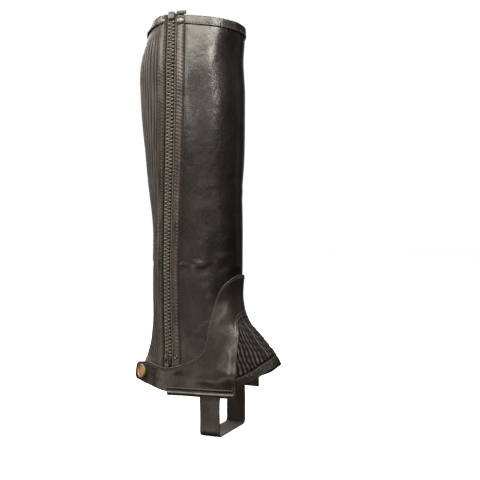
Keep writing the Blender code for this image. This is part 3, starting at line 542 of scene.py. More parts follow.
def makeElastic(name):
    finish = Finish(name, {"Specular IOR Level": 0.24})
    across, upward = finish.value("across"), finish.value("upward")
    cords = finish.sine(upward, 1.3) * 0.7 + finish.sine(across, 0.7) * 0.3
    patches = finish.noise(60, 4, 0.6)
    lift = finish.value("lift")
    colour = finish.blend(finish.ramp(patches, 0.35, 0.7), (0.0055, 0.0045, 0.0047), (0.0120, 0.0098, 0.0098))
    colour = finish.blend(cords * 0.25, colour, (0.028, 0.023, 0.0225))
    # painted highlight: the rib crests are lightened where they catch the light
    colour = finish.blend(finish.ramp(lift, 1.7, 2.3, 0.0, 0.5), colour, (0.060, 0.049, 0.046))
    # painted shade: the rib grooves are darkened to near black where shade falls
    groove = finish.ramp(lift, 1.0, 2.3, 1.0, 0.0) * finish.value("fluted")
    colour = finish.blend(groove * 0.97, colour, (0.0010, 0.0008, 0.0008))
    # painted shade: a near-black band along the edges, where the seams fall into shade
    seam = finish.ramp(finish.value("inset"), 0.2, 1.8, 1.0, 0.0)
    colour = finish.blend(seam * 0.9, colour, (0.0010, 0.0008, 0.0008))
    roughness = 0.40 + patches * 0.12 + groove * 0.45 + seam * 0.4
    return finish.feed(colour=colour, roughness=roughness, normal=finish.bump(cords, 0.22, 0.7))


def makeWoven(name, colour, lit, pitch):
    finish = Finish(name, {"Specular IOR Level": 0.3, "Sheen Weight": 0.15})
    across, upward = finish.value("across"), finish.value("upward")
    turnsBack = 2.4               # width of the twill's zigzag
    zigzag = across.maths("PINGPONG", across * (1 / turnsBack), 1.0) * turnsBack
    twill = finish.sine(upward + zigzag, pitch)
    rows = finish.sine(across, pitch * 0.9)
    weave = twill * 0.7 + rows * 0.3
    shade = finish.blend(finish.ramp(weave, 0.25, 0.8), colour, lit)
    return finish.feed(colour=shade, roughness=0.74 + weave * 0.12, normal=finish.bump(weave, 0.14, 0.8))


def makeThread(name):
    finish = Finish(name, {"Specular IOR Level": 0.45, "Sheen Weight": 0.2})
    twist = finish.sine(finish.value("twist") + finish.noise(1400, 2) * 0.5, 0.55)
    colour = finish.blend(twist, (0.020, 0.0165, 0.0145), (0.050, 0.041, 0.035))
    return finish.feed(colour=colour, roughness=0.50 + twist * 0.15, normal=finish.bump(twist, 0.10, 0.8))


def makePlastic(name, colour, lit, roughness):
    finish = Finish(name, {"Specular IOR Level": 0.5})
    patches = finish.noise(90, 4, 0.6)
    fine = finish.noise(1500, 4, 0.6)
    shade = finish.blend(finish.ramp(patches * 0.5 + fine * 0.5, 0.35, 0.68), colour, lit)
    return finish.feed(colour=shade, roughness=roughness + fine * 0.14, normal=finish.bump(fine, 0.05, 0.5))


def makeMetal(name, colour, worn, roughness, metallic, wornFrom, darkRim=None):
    finish = Finish(name, {"Specular IOR Level": 0.5})
    patches = finish.noise(260, 5, 0.65)
    scratches = finish.noise(1.0, 4, 0.7, finish.stretched(300, 300, 2600))
    pits = finish.noise(2400, 3, 0.6)
    worn = finish.blend(finish.ramp(patches * 0.6 + scratches * 0.4, wornFrom, wornFrom + 0.22), colour, worn)
    rough = roughness + patches * 0.16 + scratches * 0.08
    if darkRim is not None:       # painted shade darkening the turned rim
        radius = finish.node("VectorMath", {"operation": "LENGTH"}, {0: finish.stretched(1, 0, 1)}, 1)
        rimShade = finish.ramp(radius, darkRim[0] * mm, darkRim[1] * mm)
        # painted shade: the outer rim is darkened towards a dark olive brass
        worn = finish.blend(rimShade * 0.7, worn, (0.085, 0.060, 0.028))
        rough = rough + rimShade * 0.22
    metal = finish.ramp(patches, 0.3, 0.7, metallic * 0.9, metallic)
    normal = finish.bump(pits + scratches * 0.6, 0.03, 0.6)
    return finish.feed(colour=worn, roughness=rough, metallic=metal, normal=normal)


chap = bpy.data.collections.new("halfChap")
bpy.context.scene.collection.children.link(chap)

leather = makeLeather("chapLeather", leatherLook)
ankleLeather = makeLeather("ankleLeather", {
    **leatherLook, "deep": (0.0066, 0.0050, 0.0044), "warm": (0.0155, 0.0120, 0.0104),
    "edge": (0.042, 0.034, 0.029), "edgeShare": 0.4, "edgeWidth": 0.9, "edgeDull": 0.5})
bindingLeather = makeLeather("bindingLeather", {
    **leatherLook, "warm": (0.0300, 0.0245, 0.0200), "edgeShare": 0.9, "roughness": 0.33, "cockle": 1.6})
placketLeather = makeLeather("placketLeather", {
    **leatherLook, "deep": (0.0040, 0.0030, 0.0025), "warm": (0.0400, 0.0308, 0.0250),
    "hollowShade": (-0.16, 0.22), "edgeWidth": 1.9, "roughness": 0.34})
trimLeather = makeLeather("trimLeather", {
    **leatherLook, "deep": (0.0085, 0.0070, 0.0060), "warm": (0.0180, 0.0148, 0.0124),
    "hollowShade": (-3.0, -2.0), "crest": (0.55, 0.95), "edgeShare": 0.0})
flesh = makeFlesh("fleshSide")
stretchCloth = makeStretch("pleatedStretch")
elastic = makeElastic("ribbedElastic")
strapLeather = makeLeather("strapLeather", {
    **leatherLook, "deep": (0.0085, 0.0070, 0.0064), "warm": (0.0165, 0.0138, 0.0122), "roughness": 0.38})
tapeCloth = makeWoven("zipTape", (0.007, 0.0055, 0.005), (0.030, 0.025, 0.0215), 0.62)
# the cords and the folded end are lighter copies of the zip tape's cloth, with painted light for the light they catch
litCordCloth = makeWoven("tapeCord", (0.050, 0.042, 0.036), (0.130, 0.112, 0.098), 0.62)
litFoldedCloth = makeWoven("foldedTape", (0.035, 0.030, 0.026), (0.105, 0.092, 0.080), 0.62)
thread = makeThread("thread")
toothPlastic = makePlastic("zipPlastic", (0.042, 0.036, 0.032), (0.094, 0.081, 0.071), 0.36)
boxPlastic = makePlastic("boxPlastic", (0.034, 0.032, 0.028), (0.070, 0.066, 0.058), 0.42)
darkMetal = makeMetal("lacqueredMetal", (0.085, 0.079, 0.073), (0.34, 0.32, 0.30), 0.22, 0.9, 0.52)
brass = makeMetal("wornBrass", (0.40, 0.260, 0.110), (0.74, 0.53, 0.26), 0.34, 1.0, 0.34, (5.6, 6.3))
print("half chap: finishes made")

# Camera, light and floor

view = {
    "turn": 26.0, "away": 858.8, "height": 170.0, "focal": 746.93, "frame": 480.0, "axisColumn": 197.0,
    "floor": -44.4,
}
camera = bpy.data.cameras.new("camera")
camera.sensor_width = 36.0
camera.lens = 36.0 * view["focal"] / view["frame"]
cameraRig = bpy.data.objects.new("camera", camera)
bpy.context.scene.collection.objects.link(cameraRig)
swing = math.radians(view["turn"])
cameraRig.location = Vector((math.sin(swing) * view["away"], -math.cos(swing) * view["away"],
                             view["height"] - leg["holdHeight"])) * mm
aside = math.atan((view["frame"] / 2 - view["axisColumn"]) / view["focal"])
cameraRig.rotation_euler = (math.radians(90), 0.0, swing - aside)
bpy.context.scene.camera = cameraRig
bpy.context.scene.view_settings.view_transform = "Standard"

# name, degrees round from the camera's side, degrees up, metres away, width, height, watts, colour
lamps = [
    ("frontBox", 10, 42, 0.85, 1.00, 0.42, 16.5, (1.0, 0.935, 0.835)),
    ("windowLamp", 41, 31, 0.60, 0.08, 0.20, 0.95, (1.0, 0.96, 0.90)),
    ("leftBox", -62, 36, 0.78, 0.66, 0.50, 7.6, (1.0, 0.925, 0.82)),
    ("calfFill", 12, 8, 0.50, 0.50, 0.16, 0.31, (1.0, 0.94, 0.86)),
    ("ankleLamp", -24, 15, 1.25, 0.17, 0.20, 2.30, (1.0, 0.92, 0.82)),
    ("lowFill", -30, 4, 1.20, 0.50, 0.60, 0.10, (1.0, 0.89, 0.78)),
    ("tableBounce", -60, -27, 0.85, 1.20, 0.14, 1.55, (1.0, 0.87, 0.75)),
    ("hemBounce", 2, -27, 0.85, 0.40, 0.14, 0.65, (1.0, 0.87, 0.75)),
    ("rearLeftBox", -128, 16, 1.20, 0.50, 1.00, 3.0, (0.97, 0.98, 1.0)),
    ("rearBox", -164, 40, 1.10, 0.90, 0.60, 18.0, (0.98, 0.98, 1.0)),
    ("rightStrip", 112, 12, 1.30, 0.30, 1.00, 0.2, (0.95, 0.97, 1.0)),
]
middle = Vector((0.0, 0.0, -0.10))
for name, turn, up, away, wide, tall, watts, colour in lamps:
    lamp = bpy.data.lights.new(name, "AREA")
    lamp.shape = "RECTANGLE"
    lamp.size, lamp.size_y = wide, tall
    lamp.energy = watts
    lamp.color = colour
    holder = bpy.data.objects.new(name, lamp)
    bpy.context.scene.collection.objects.link(holder)
    a, e = math.radians(view["turn"] + turn), math.radians(up)
    way = Vector((math.sin(a) * math.cos(e), -math.cos(a) * math.cos(e), math.sin(e)))
    holder.location = middle + way * away
    holder.rotation_euler = way.to_track_quat("Z", "Y").to_euler()

world = bpy.data.worlds.new("studio")
bpy.context.scene.world = world
world.use_nodes = True
world.node_tree.nodes.clear()
studio = Nodes(world.node_tree)
seen = studio.node("Background", None, {"Color": (1.0, 1.0, 1.0, 1.0), "Strength": 1.02})
backdrop = (-math.sin(swing), math.cos(swing), 0.10)       # it glows behind the half chap
towards = studio.node("VectorMath", {"operation": "DOT_PRODUCT"}, {0: studio.node("TexCoord"), 1: backdrop}, 1)
glow = studio.node("MapRange", {"interpolation_type": "SMOOTHSTEP"}, {0: towards, 1: 0.84, 2: 1.0, 3: 0.03, 4: 0.65})
felt = studio.node("Background", None, {"Color": (0.95, 0.97, 1.0, 1.0), "Strength": glow})
either = studio.node("MixShader", None, {0: studio.node("LightPath"), 1: felt, 2: seen})
studio.node("OutputWorld", None, {"Surface": either})

bpy.ops.mesh.primitive_plane_add(size=40.0, location=(0, 0, (view["floor"] - leg["holdHeight"]) * mm))
floor = bpy.context.object
floor.name = "floor"
paper = Finish("paper", {"Roughness": 0.9, "Specular IOR Level": 0.1, "Emission Color": (1, 1, 1, 1),
                         "Emission Strength": 0.95})
floor.data.materials.append(paper.feed(colour=paper.blend(paper.noise(3), (0.80, 0.80, 0.79), (0.83, 0.83, 0.82))))
floor.visible_glossy = floor.visible_diffuse = floor.visible_shadow = False


def finishPiece(piece, slot, *cadNodes):
    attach(piece, "root")
    if cadNodes:
        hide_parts(*cadNodes)
    return piece


seams = {                 # pitch, length and thickness of the stitches
    "placketStitches": (4.0, 3.2, 0.34), "bindingStitches": (3.4, 2.7, 0.28), "bandStitches": (3.0, 2.4, 0.26),
    "stirrupStitches": (3.6, 2.9, 0.28), "ankleStitches": (3.2, 2.6, 0.27), "farSeamStitches": (3.6, 2.9, 0.28),
}


def sew(name, tracks):
    finishPiece(stitches(name, tracks, *seams[name], thread), "zip_tape")


# Stretch panel widths and the far seam

stretchPanel = {
    "wall": 1.2, "foot": 8.0, "ribs": 14, "samples": 10, "rows": 190, "ribRise": 1.05, "lean": 0.80,
    "fadeTop": 26.0, "fadeFoot": (34.0, 44.0),
    "widths": [(0, 58.0), (30, 56.0), (70, 47.0), (130, 48.0), (200, 54.0), (280, 68.0), (350, 78.0), (380, 76.0),
               (422, 62.0)],
}
zipFit = {
    "tapeEdge": 0.1, "tapeOuter": 13.4, "placketNear": 6.6, "frontFar": 14.4, "rearFar": 17.0, "lap": 0.8,
    "tapeOut": 0.2, "tapeWall": 0.7, "placketOut": 1.2, "placketWall": 1.6, "chainOut": 0.6, "chainRise": 3.0,
    "tapeFoot": 12.0, "placketFoot": 8.0, "toothPitch": 4.0,
    "sliderFoot": 31.0, "sliderTall": 13.0, "sliderWide": 9.4, "sliderOut": 1.2, "sliderThick": 3.2, "pullLean": 5.0,
    "boxTall": 8.0, "boxWide": 7.6, "boxThick": 3.6, "boxAboveRim": 3.2,
    # stitch rows in the plackets: distance from the edge, depth of the groove, width of the puckers
    "frontRows": ((2.2, 0.40, 1.6), (6.3, 0.66, 2.4)), "rearRows": ((2.9, 0.22, 1.8), (8.9, 1.00, 1.8)),
}


def farSeam(height):
    width = through(*np.array(stretchPanel["widths"]).T, height)
    return angleAt(height, -zipFit["rearFar"] - gap - width)


def toRim(level, angle):          # rows lie level below and follow the rim at the top
    return level + (rim(angle) - leg["rimHeight"]) * smooth(370, leg["rimHeight"], level)


def makeStretchPanel():
    own = stretchPanel
    uneven = np.random.default_rng(7)
    ribWeight = uneven.uniform(0.82, 1.12, own["ribs"] + 1)

    def place(u, v, out):
        level = mix(own["foot"], leg["rimHeight"], v)
        near = angleAt(level, -zipFit["rearFar"] - gap)
        angle = mix(farSeam(level), near, u)
        return onLeg(angle, toRim(level, angle), out)

    def ribFade(u, v):
        level = mix(own["foot"], leg["rimHeight"], v)
        above = smooth(leg["rimHeight"] - own["fadeTop"] - 10 * (1 - u), leg["rimHeight"] - 8.6, level)
        return (1 - above) * smooth(*own["fadeFoot"], level)

    def rise(u, v, left, right, foot, top):
        level = mix(own["foot"], leg["rimHeight"], v)
        phase = u * own["ribs"] + 0.07 * np.sin(level / 31 + 9 * u) * np.sin(np.pi * u)
        part = np.clip(phase - np.floor(phase), 0, 1)
        fold = np.sin(np.pi * (1 - (1 - part) ** own["lean"])) ** 0.9       # each fold leans towards the zip
        fade = ribFade(u, v)
        weight = ribWeight[np.clip(phase.astype(int), 0, own["ribs"])]
        gathers = 0.05 * np.sin(level * 1.15 + 7 * np.sin(phase * 2.1)) + 0.10 * np.sin(level / 9.0 + phase * 1.7)
        beside = smooth(0.4, 2.2, right)                                    # the valley beside the placket
        return (own["ribRise"] * weight * fold * (0.3 + 0.7 * beside) + gathers) * fade - 0.30 * (1 - beside)

    piece = shell("stretchPanel", place, own["ribs"] * own["samples"], own["rows"], own["wall"],
                  [stretchCloth, flesh], rise, 0.5, ribFade)
    finishPiece(piece, "stretch_fabric", "stretch_panel")


edges = {
    "curved": [(0, 131.5), (-14, 130.5), (-26, 126.5), (-37, 118.5), (-42.5, 110.5), (-46.5, 102), (-54, 87),
               (-62, 72), (-69.5, 56)],
    "curvedBack": [(-69.5, 56), (-76, 44.5), (-83, 38), (-92, 32.5), (-104, 29.6), (-119, 30.6), (-132, 32)],
    "notch": [(0, 83), (-11, 82), (-20, 78.5), (-29, 69.5), (-40, 56), (-48.5, 41), (-53.5, 25), (-56.5, 12),
              (-58.2, 0.6)],
    "hem": [(-58.2, 0.6), (-80, 0.8), (-98, 2.2), (-114, 4.4), (-132, 7.4)],
    "innerBack": [(-69.5, 56), (-76, 44.5), (-84, 38), (-100, 34), (-125, 33), (-172, 33)],
    "innerHem": [(-58.2, 0.6), (-80, 0.8), (-105, 2.5), (-135, 5), (-172, 7)],
    "gussetFoot": [(0, 33.5), (16, 30.5), (31, 25.5), (44, 18.5), (56, 12.5), (64, 9.5)],
}


def alongEdge(name, share):       # angle and height at a share of the way along an edge
    points = np.array(edges[name], dtype=float)
    places = lengthAlong(points)
    places /= places[-1]
    return through(places, points[:, 0], share), through(places, points[:, 1], share)


def edgeHeight(names, angle):     # height of an edge at an angle
    points = np.array(sorted(set(sum((edges[name] for name in names), []))), dtype=float)
    return through(points[:, 0], points[:, 1], angle)


frontPanel = {"wall": 1.8, "columns": 150, "rows": 215, "allowance": 8.0, "settled": 200.0, "foot": 25.0,
              "sewnAt": 3.0, "girth": 262.0}
settlingRounds = 8        # a row's height and its angles depend on each other


def makeFrontPanel():
    own = frontPanel

    def lowEdge(angle):
        swingBack = -np.abs((angle + 180.0) % 360.0 - 180.0)
        outer = edgeHeight(("curved", "curvedBack"), swingBack)
        inner = edgeHeight(("curved", "innerBack"), swingBack)
        return np.where(angle < 0, outer, inner) - own["allowance"]

    def place(u, v, out):
        level = mix(own["foot"], leg["rimHeight"], v)
        height = 200.0 + 0 * u
        for _ in range(settlingRounds):
            first = angleAt(height, zipFit["frontFar"] + gap)
            last = farSeam(height) + 360.0 + math.degrees(0.8 / 55.0)
            angle = mix(first, last, u)
            settle = np.clip(1 - (level - own["foot"]) / (own["settled"] - own["foot"]), 0, 1)
            height = toRim(level, angle) + (lowEdge(angle) - own["foot"]) * settle
        return onLeg(angle, height, out)

    def rise(u, v, left, right, foot, top):
        return -0.30 * bell(left - 1.0, 1.2) - 0.35 * bell(right - 3.0, 0.9) + 0.18 * bell(right - 5.5, 1.4)

    piece = shell("frontPanel", place, own["columns"], own["rows"], own["wall"], [leather, flesh], rise, 0.9)
    finishPiece(piece, "leather", "front_panel")
    return piece, place


strap = {"leaves": -132.0, "endLength": 24.5, "endHeights": (10.5, 30.0), "corner": 5.0, "capAlong": 10.0,
         "capHeight": 20.3}
lifts = [(-45, 3.4), (-30, 3.4), (-20, 3.8), (-10, 5.3), (-4, 6.0), (4, 6.0), (10, 5.2), (17, 3.7), (25, 2.8),
         (32, 2.7), (60, 2.7)]
anklePanel = {"out": 2.7, "wall": 1.6, "columns": 250, "rows": 46, "counts": (15, 16, 16, 15, 6)}


def liftAt(distance):
    return through(*np.array(lifts).T, distance)


def straightOn(angle, height):
    before, after = formPoint(angle + 0.5, height), formPoint(angle - 0.5, height)
    return unit(after - before)


def strapPoint(reach, height, out=0.0):       # on the strap's straight end
    start = formPoint(strap["leaves"] + 0 * height, height)
    normal = formNormal(strap["leaves"] + 0 * height, height)
    ahead = straightOn(np.array(strap["leaves"]), np.array(strap["capHeight"]))
    point = start + normal * (liftAt(-30.0) + out)[..., None] + ahead * reach[..., None]
    point[..., 2] -= leg["holdHeight"]
    return point * mm


def ankleSpot(u, v):              # angle, height and reach past the heel of a point of the ankle panel
    back, notch, _, _, end = anklePanel["counts"]
    total = sum(anklePanel["counts"])
    i = total * (1 - u)
    first, second, third, fourth = back, back + notch, back + 2 * notch, 2 * back + 2 * notch
    angleLow, angleHigh, low, high = (np.zeros(np.shape(u)) for _ in range(4))
    spans = [
        (i <= first, 1 - i / back, "innerHem", "innerBack", -1),
        ((i > first) & (i <= second), 1 - (i - first) / notch, "notch", "curved", -1),
        ((i > second) & (i <= third), (i - second) / notch, "notch", "curved", 1),
        (i > third, np.clip((i - third) / back, 0, 1), "hem", "curvedBack", 1),
    ]
    for chosen, share, lower, upper, sign in spans:
        share = np.clip(share, 0, 1)
        lowEnd, highEnd = alongEdge(lower, share), alongEdge(upper, share)
        angleLow, low = np.where(chosen, sign * lowEnd[0], angleLow), np.where(chosen, lowEnd[1], low)
        angleHigh, high = np.where(chosen, sign * highEnd[0], angleHigh), np.where(chosen, highEnd[1], high)
    angle, height = mix(angleLow, angleHigh, v), mix(low, high, v)
    past = np.clip((i - fourth) / end, 0, 1)
    reach = strap["endLength"] * past
    ease = smooth(0, 1, past)
    into = np.clip(reach - (strap["endLength"] - strap["corner"]), 0, strap["corner"])
    cut = (strap["corner"] - np.sqrt(np.clip(strap["corner"] ** 2 - into ** 2, 0, None))) * 0.8
    endLow = mix(edges["hem"][-1][1], strap["endHeights"][0], ease) + cut
    endHigh = mix(edges["curvedBack"][-1][1], strap["endHeights"][1], ease) - cut
    height = np.where(past > 0, mix(endLow, endHigh, v), height)
    return angle, height, reach, past > 0


def anklePlace(u, v, out):
    u, v, out = (np.asarray(x, dtype=float) for x in (u, v, out))
    angle, height, reach, onStrap = ankleSpot(u, v)
    distance = np.clip(distanceAt(height, angle), -45, 60)
    under = np.where(angle < 0, liftAt(distance), anklePanel["out"])
    panel = onLeg(angle, height, under + out)
    return np.where(onStrap[..., None], strapPoint(reach, height, out), panel)


# ridges and hollows of the ankle panel alone: distance from the zip, height, half length, width, tilt, rise
ankleFolds = [
    (49, 17.5, 21, 5.0, -3, 0.75), (74, 24, 15, 8.0, 0, 2.0), (15, 27, 8, 3.4, 8, 0.70),
    (72, 34, 26, 4.2, 86, 0.90), (64, 40, 17, 4.0, 62, -0.55), (30, 22, 14, 4.0, 10, -0.25),
    (58, 56, 20, 5.0, 62, 0.35), (60, 92, 20, 5.0, 66, -0.45), (-12, 19, 14, 3.4, 4, 0.35),
    (-22, 24, 9, 2.6, -20, -0.35), (150, 24, 20, 3.6, 4, 0.80), (146, 17, 20, 2.6, 3, -0.60),
    (128, 52, 20, 4.6, -58, 0.60), (122, 80, 18, 5.0, -64, -0.45), (170, 20, 16, 3.4, -6, 0.5),
]


def makeAnklePanel():
    own = anklePanel

    def rise(u, v, left, right, foot, top):
        angle, height, reach, onStrap = ankleSpot(u, v)
        distance = distanceAt(height, angle) - reach
        total = np.zeros(u.shape)
        for acrossAt, upAt, half, wide, tilt, amount in ankleFolds:
            total += crease(distance - acrossAt, height - upAt, half, wide, tilt, 0.0, amount)
        stitched = -0.32 * bell(top - 2.6, 0.7) + 0.12 * bell(top - 1.2, 0.8)
        inNotch = smooth(0.22, 0.24, u) * (1 - smooth(0.76, 0.78, u))
        overNotch = -0.34 * bell(foot - 2.4, 0.8) - 0.30 * bell(foot - 6.2, 0.8) + 0.10 * bell(foot - 4.3, 1.3)
        return total + stitched + overNotch * inNotch

    piece = shell("anklePanel", anklePlace, own["columns"], own["rows"], own["wall"], [ankleLeather, flesh],
                  rise, 0.8)
    finishPiece(piece, "leather", "ankle_panel")
    return piece


def upright(near, far, foot, topRise, base):      # place() for a strip beside the zip, between two distances
    def place(u, v, out):
        level = mix(foot, leg["rimHeight"], v)
        angle = angleAt(level, mix(near, far, u))
        return onLeg(angle, toRim(level, angle) + topRise * smooth(380, leg["rimHeight"], level), base + out)
    return place


def makePlackets():
    own = zipFit
    pitch = seams["placketStitches"][0]

    def rises(rows, outerIsLeft): # puckered grooves where the stitch rows run, and a soft crown between
        def rise(u, v, left, right, foot, top):
            crown = 0.42 * np.sin(np.pi * np.clip(u, 0, 1)) ** 0.7
            crown = crown - 0.85 * (1 - smooth(0.2, 2.4, left if outerIsLeft else right))
            wander = foot + 0.5 * np.sin(foot / 17.0) + 0.4 * np.sin(foot / 5.3) + 0.55 * left
            for offset, deep, spread in rows:
                beat = np.cos(2 * np.pi * wander / pitch)
                crown = crown - deep * bell(left - offset, 0.95) * (0.6 + 0.4 * beat)
                crown = crown - 0.15 * bell(left - offset, spread) * beat * smooth(20, 70, leg["rimHeight"] - foot)
            return crown
        return rise

    pieces = []
    for name, near, far, rows, node in (
            ("placketFront", own["placketNear"], own["frontFar"] + own["lap"], own["frontRows"], "placket_front"),
            ("placketRear", -own["rearFar"] - own["lap"], -own["placketNear"], own["rearRows"], "placket_rear")):
        place = upright(near, far, own["placketFoot"], 0.6, own["placketOut"])
        piece = shell(name, place, 22, 400, own["placketWall"], [placketLeather, flesh], rises(rows, near < 0), 0.7)
        pieces.append(finishPiece(piece, "leather", node))
    for name, near, far, top, node in (
            ("zipTapeFront", own["tapeEdge"], own["tapeOuter"], 2.2, "zip_tape_front"),
            ("zipTapeRear", -own["tapeOuter"], -own["tapeEdge"], 0.8, "zip_tape_rear")):
        place = upright(near, far, own["tapeFoot"], top, own["tapeOut"])
        piece = shell(name, place, 10, 120, own["tapeWall"], [tapeCloth], None, 0.3)
        pieces.append(finishPiece(piece, "zip_tape", node))
    return pieces


def seamTrack(place, u, v, out):      # points and outward ways along a line of a panel
    point = place(u, v, out)
    above = place(u, v, out + 0.5)
    return point, unit(above - point)


def placketStitches():
    own = zipFit
    tracks = []
    for side, offsets in ((1, (2.2, 6.3)), (-1, (2.6, 8.3))):
        for offset in offsets:
            height = np.linspace(own["placketFoot"] + 3, leg["rimHeight"] - 12, 420)
            angle = angleAt(height, side * (own["placketNear"] + offset))
            out = own["placketOut"] + own["placketWall"] - 0.02
            outward = formNormal(angle, height)
            tracks.append((onLeg(angle, height, out), outward))
    sew("placketStitches", tracks)


def makeTeeth():
    own = zipFit
    # one moulded tooth: distance from the middle line, half height, half thickness
    stations = [(3.95, 0.60, 0.80), (3.7, 1.10, 1.22), (3.0, 1.36, 1.50), (2.1, 1.30, 1.48), (1.3, 0.84, 1.05),
                (0.4, 0.56, 0.80), (-0.4, 0.82, 1.00), (-1.0, 0.80, 0.95), (-1.35, 0.46, 0.65)]
    outline = [(-1, -0.55), (-0.6, -1), (0.6, -1), (1, -0.55), (1, 0.55), (0.6, 1), (-0.6, 1), (-1, 0.55)]
    template = np.array([[(a, up * half, out * thick) for up, out in outline] for a, half, thick in stations])
    n, m = template.shape[:2]
    quads = ringQuads(n, m)
    flat = template.reshape(-1, 3)
    low = own["sliderFoot"] + own["sliderTall"] + 0.6
    high = rim(zipAngle(leg["rimHeight"])) + own["boxAboveRim"] - own["boxTall"] - 0.8
    points, faces, count = [], [], 0
    for side, shift in ((1, 0.0), (-1, own["toothPitch"] / 2)):
        heights = np.arange(low + 1.2 + shift, high - 1.0, own["toothPitch"])
        spot, forward, normal, upward = legFrame(zipAngle(heights), heights, own["chainOut"] + 1.5)
        shifts = [flat[:, k, None] * way[:, None, :] for k, way in enumerate((forward * side, upward, normal))]
        points.append((spot[:, None, :] + sum(shifts) * mm).reshape(-1, 3))
        for _ in heights:
            caps = [list(range(count, count + m)), list(range(count + (n - 1) * m, count + n * m))]
            faces += (quads + count).tolist() + caps
            count += n * m
    piece = addMesh("zipTeeth", np.concatenate(points), faces, [toothPlastic])
    tidyUp(piece)
    return finishPiece(piece, "zip_plastic", "zip_chain")


def makeZipEnds():
    own = zipFit
    heights = np.linspace(own["tapeFoot"] + 2, leg["rimHeight"] + 2, 300)
    for name, distance in (("tapeCordFront", 5.0), ("tapeCordRear", -5.0)):
        path = onLeg(angleAt(heights, distance), heights, own["tapeOut"] + own["tapeWall"] + 0.35)
        finishPiece(tube(name, path, 0.55, 8, litCordCloth), "zip_tape")

    top = rim(zipAngle(leg["rimHeight"])) + own["boxAboveRim"] - own["boxTall"]
    boxHeight = float(top + own["boxTall"] / 2)
    matrix = placing(float(zipAngle(boxHeight)), boxHeight, own["chainOut"] + own["boxThick"] / 2)
    half = np.array([own["boxWide"], own["boxThick"], own["boxTall"]]) / 2
    turns = np.linspace(0, 2 * np.pi, 48, endpoint=False)
    outline = np.stack([np.sign(f(turns)) * np.abs(f(turns)) ** 0.28 for f in (np.cos, np.sin)], 1)
    steps = ((1, 0.80), (0.97, 0.90), (0.86, 0.98), (0.6, 1.0), (-0.6, 1.0), (-0.86, 0.98), (-0.97, 0.90),
             (-1, 0.80), (-1, 0.66), (-0.9, 0.62), (-0.88, 0.30))
    finishPiece(slab("zipBox", outline, half, steps, matrix, boxPlastic), "zip_plastic", "zip_box")

    # the tape's end, folded over into a flat loop
    foldHeight = float(rim(angleAt(leg["rimHeight"], 5.6))) + 0.6 + gap + 1.8
    matrix = placing(float(angleAt(foldHeight, 11.2)), foldHeight, own["placketOut"] + own["placketWall"] / 2)
    wide, thick, tall, wall = 10.4, 2.6, 3.6, 0.8
    bend = (thick - wall) / 2
    arc = np.linspace(0, np.pi, 13)
    over = np.stack([-bend * np.cos(arc), tall / 2 - thick / 2 + bend * np.sin(arc)], 1)
    path = np.concatenate([[(-bend, -tall / 2)], over, [(bend, -tall / 2)]])
    ways = np.concatenate([[(-1, 0)], np.stack([-np.cos(arc), np.sin(arc)], 1), [(1, 0)]])
    loop = np.concatenate([path + ways * wall / 2, (path - ways * wall / 2)[::-1]])
    rings = []
    for share, squeeze in ((-1, 0.90), (-0.985, 0.96), (-0.93, 1), (-0.5, 1), (0, 1), (0.5, 1), (0.93, 1),
                           (0.985, 0.96), (1, 0.90)):
        rings.append(np.stack([0 * loop[:, 0] + wide / 2 * share, loop[:, 0] * squeeze, loop[:, 1]], -1) * mm)
    values = {"across": np.repeat(np.linspace(0, wide, 9), len(loop)), "upward": np.tile(lengthAlong(loop), 9)}
    piece = swept("tapeEnd", rings, [litFoldedCloth], values)
    piece.matrix_world = matrix
    tidyUp(piece, fineWeld)
    finishPiece(piece, "zip_tape", "tape_end")


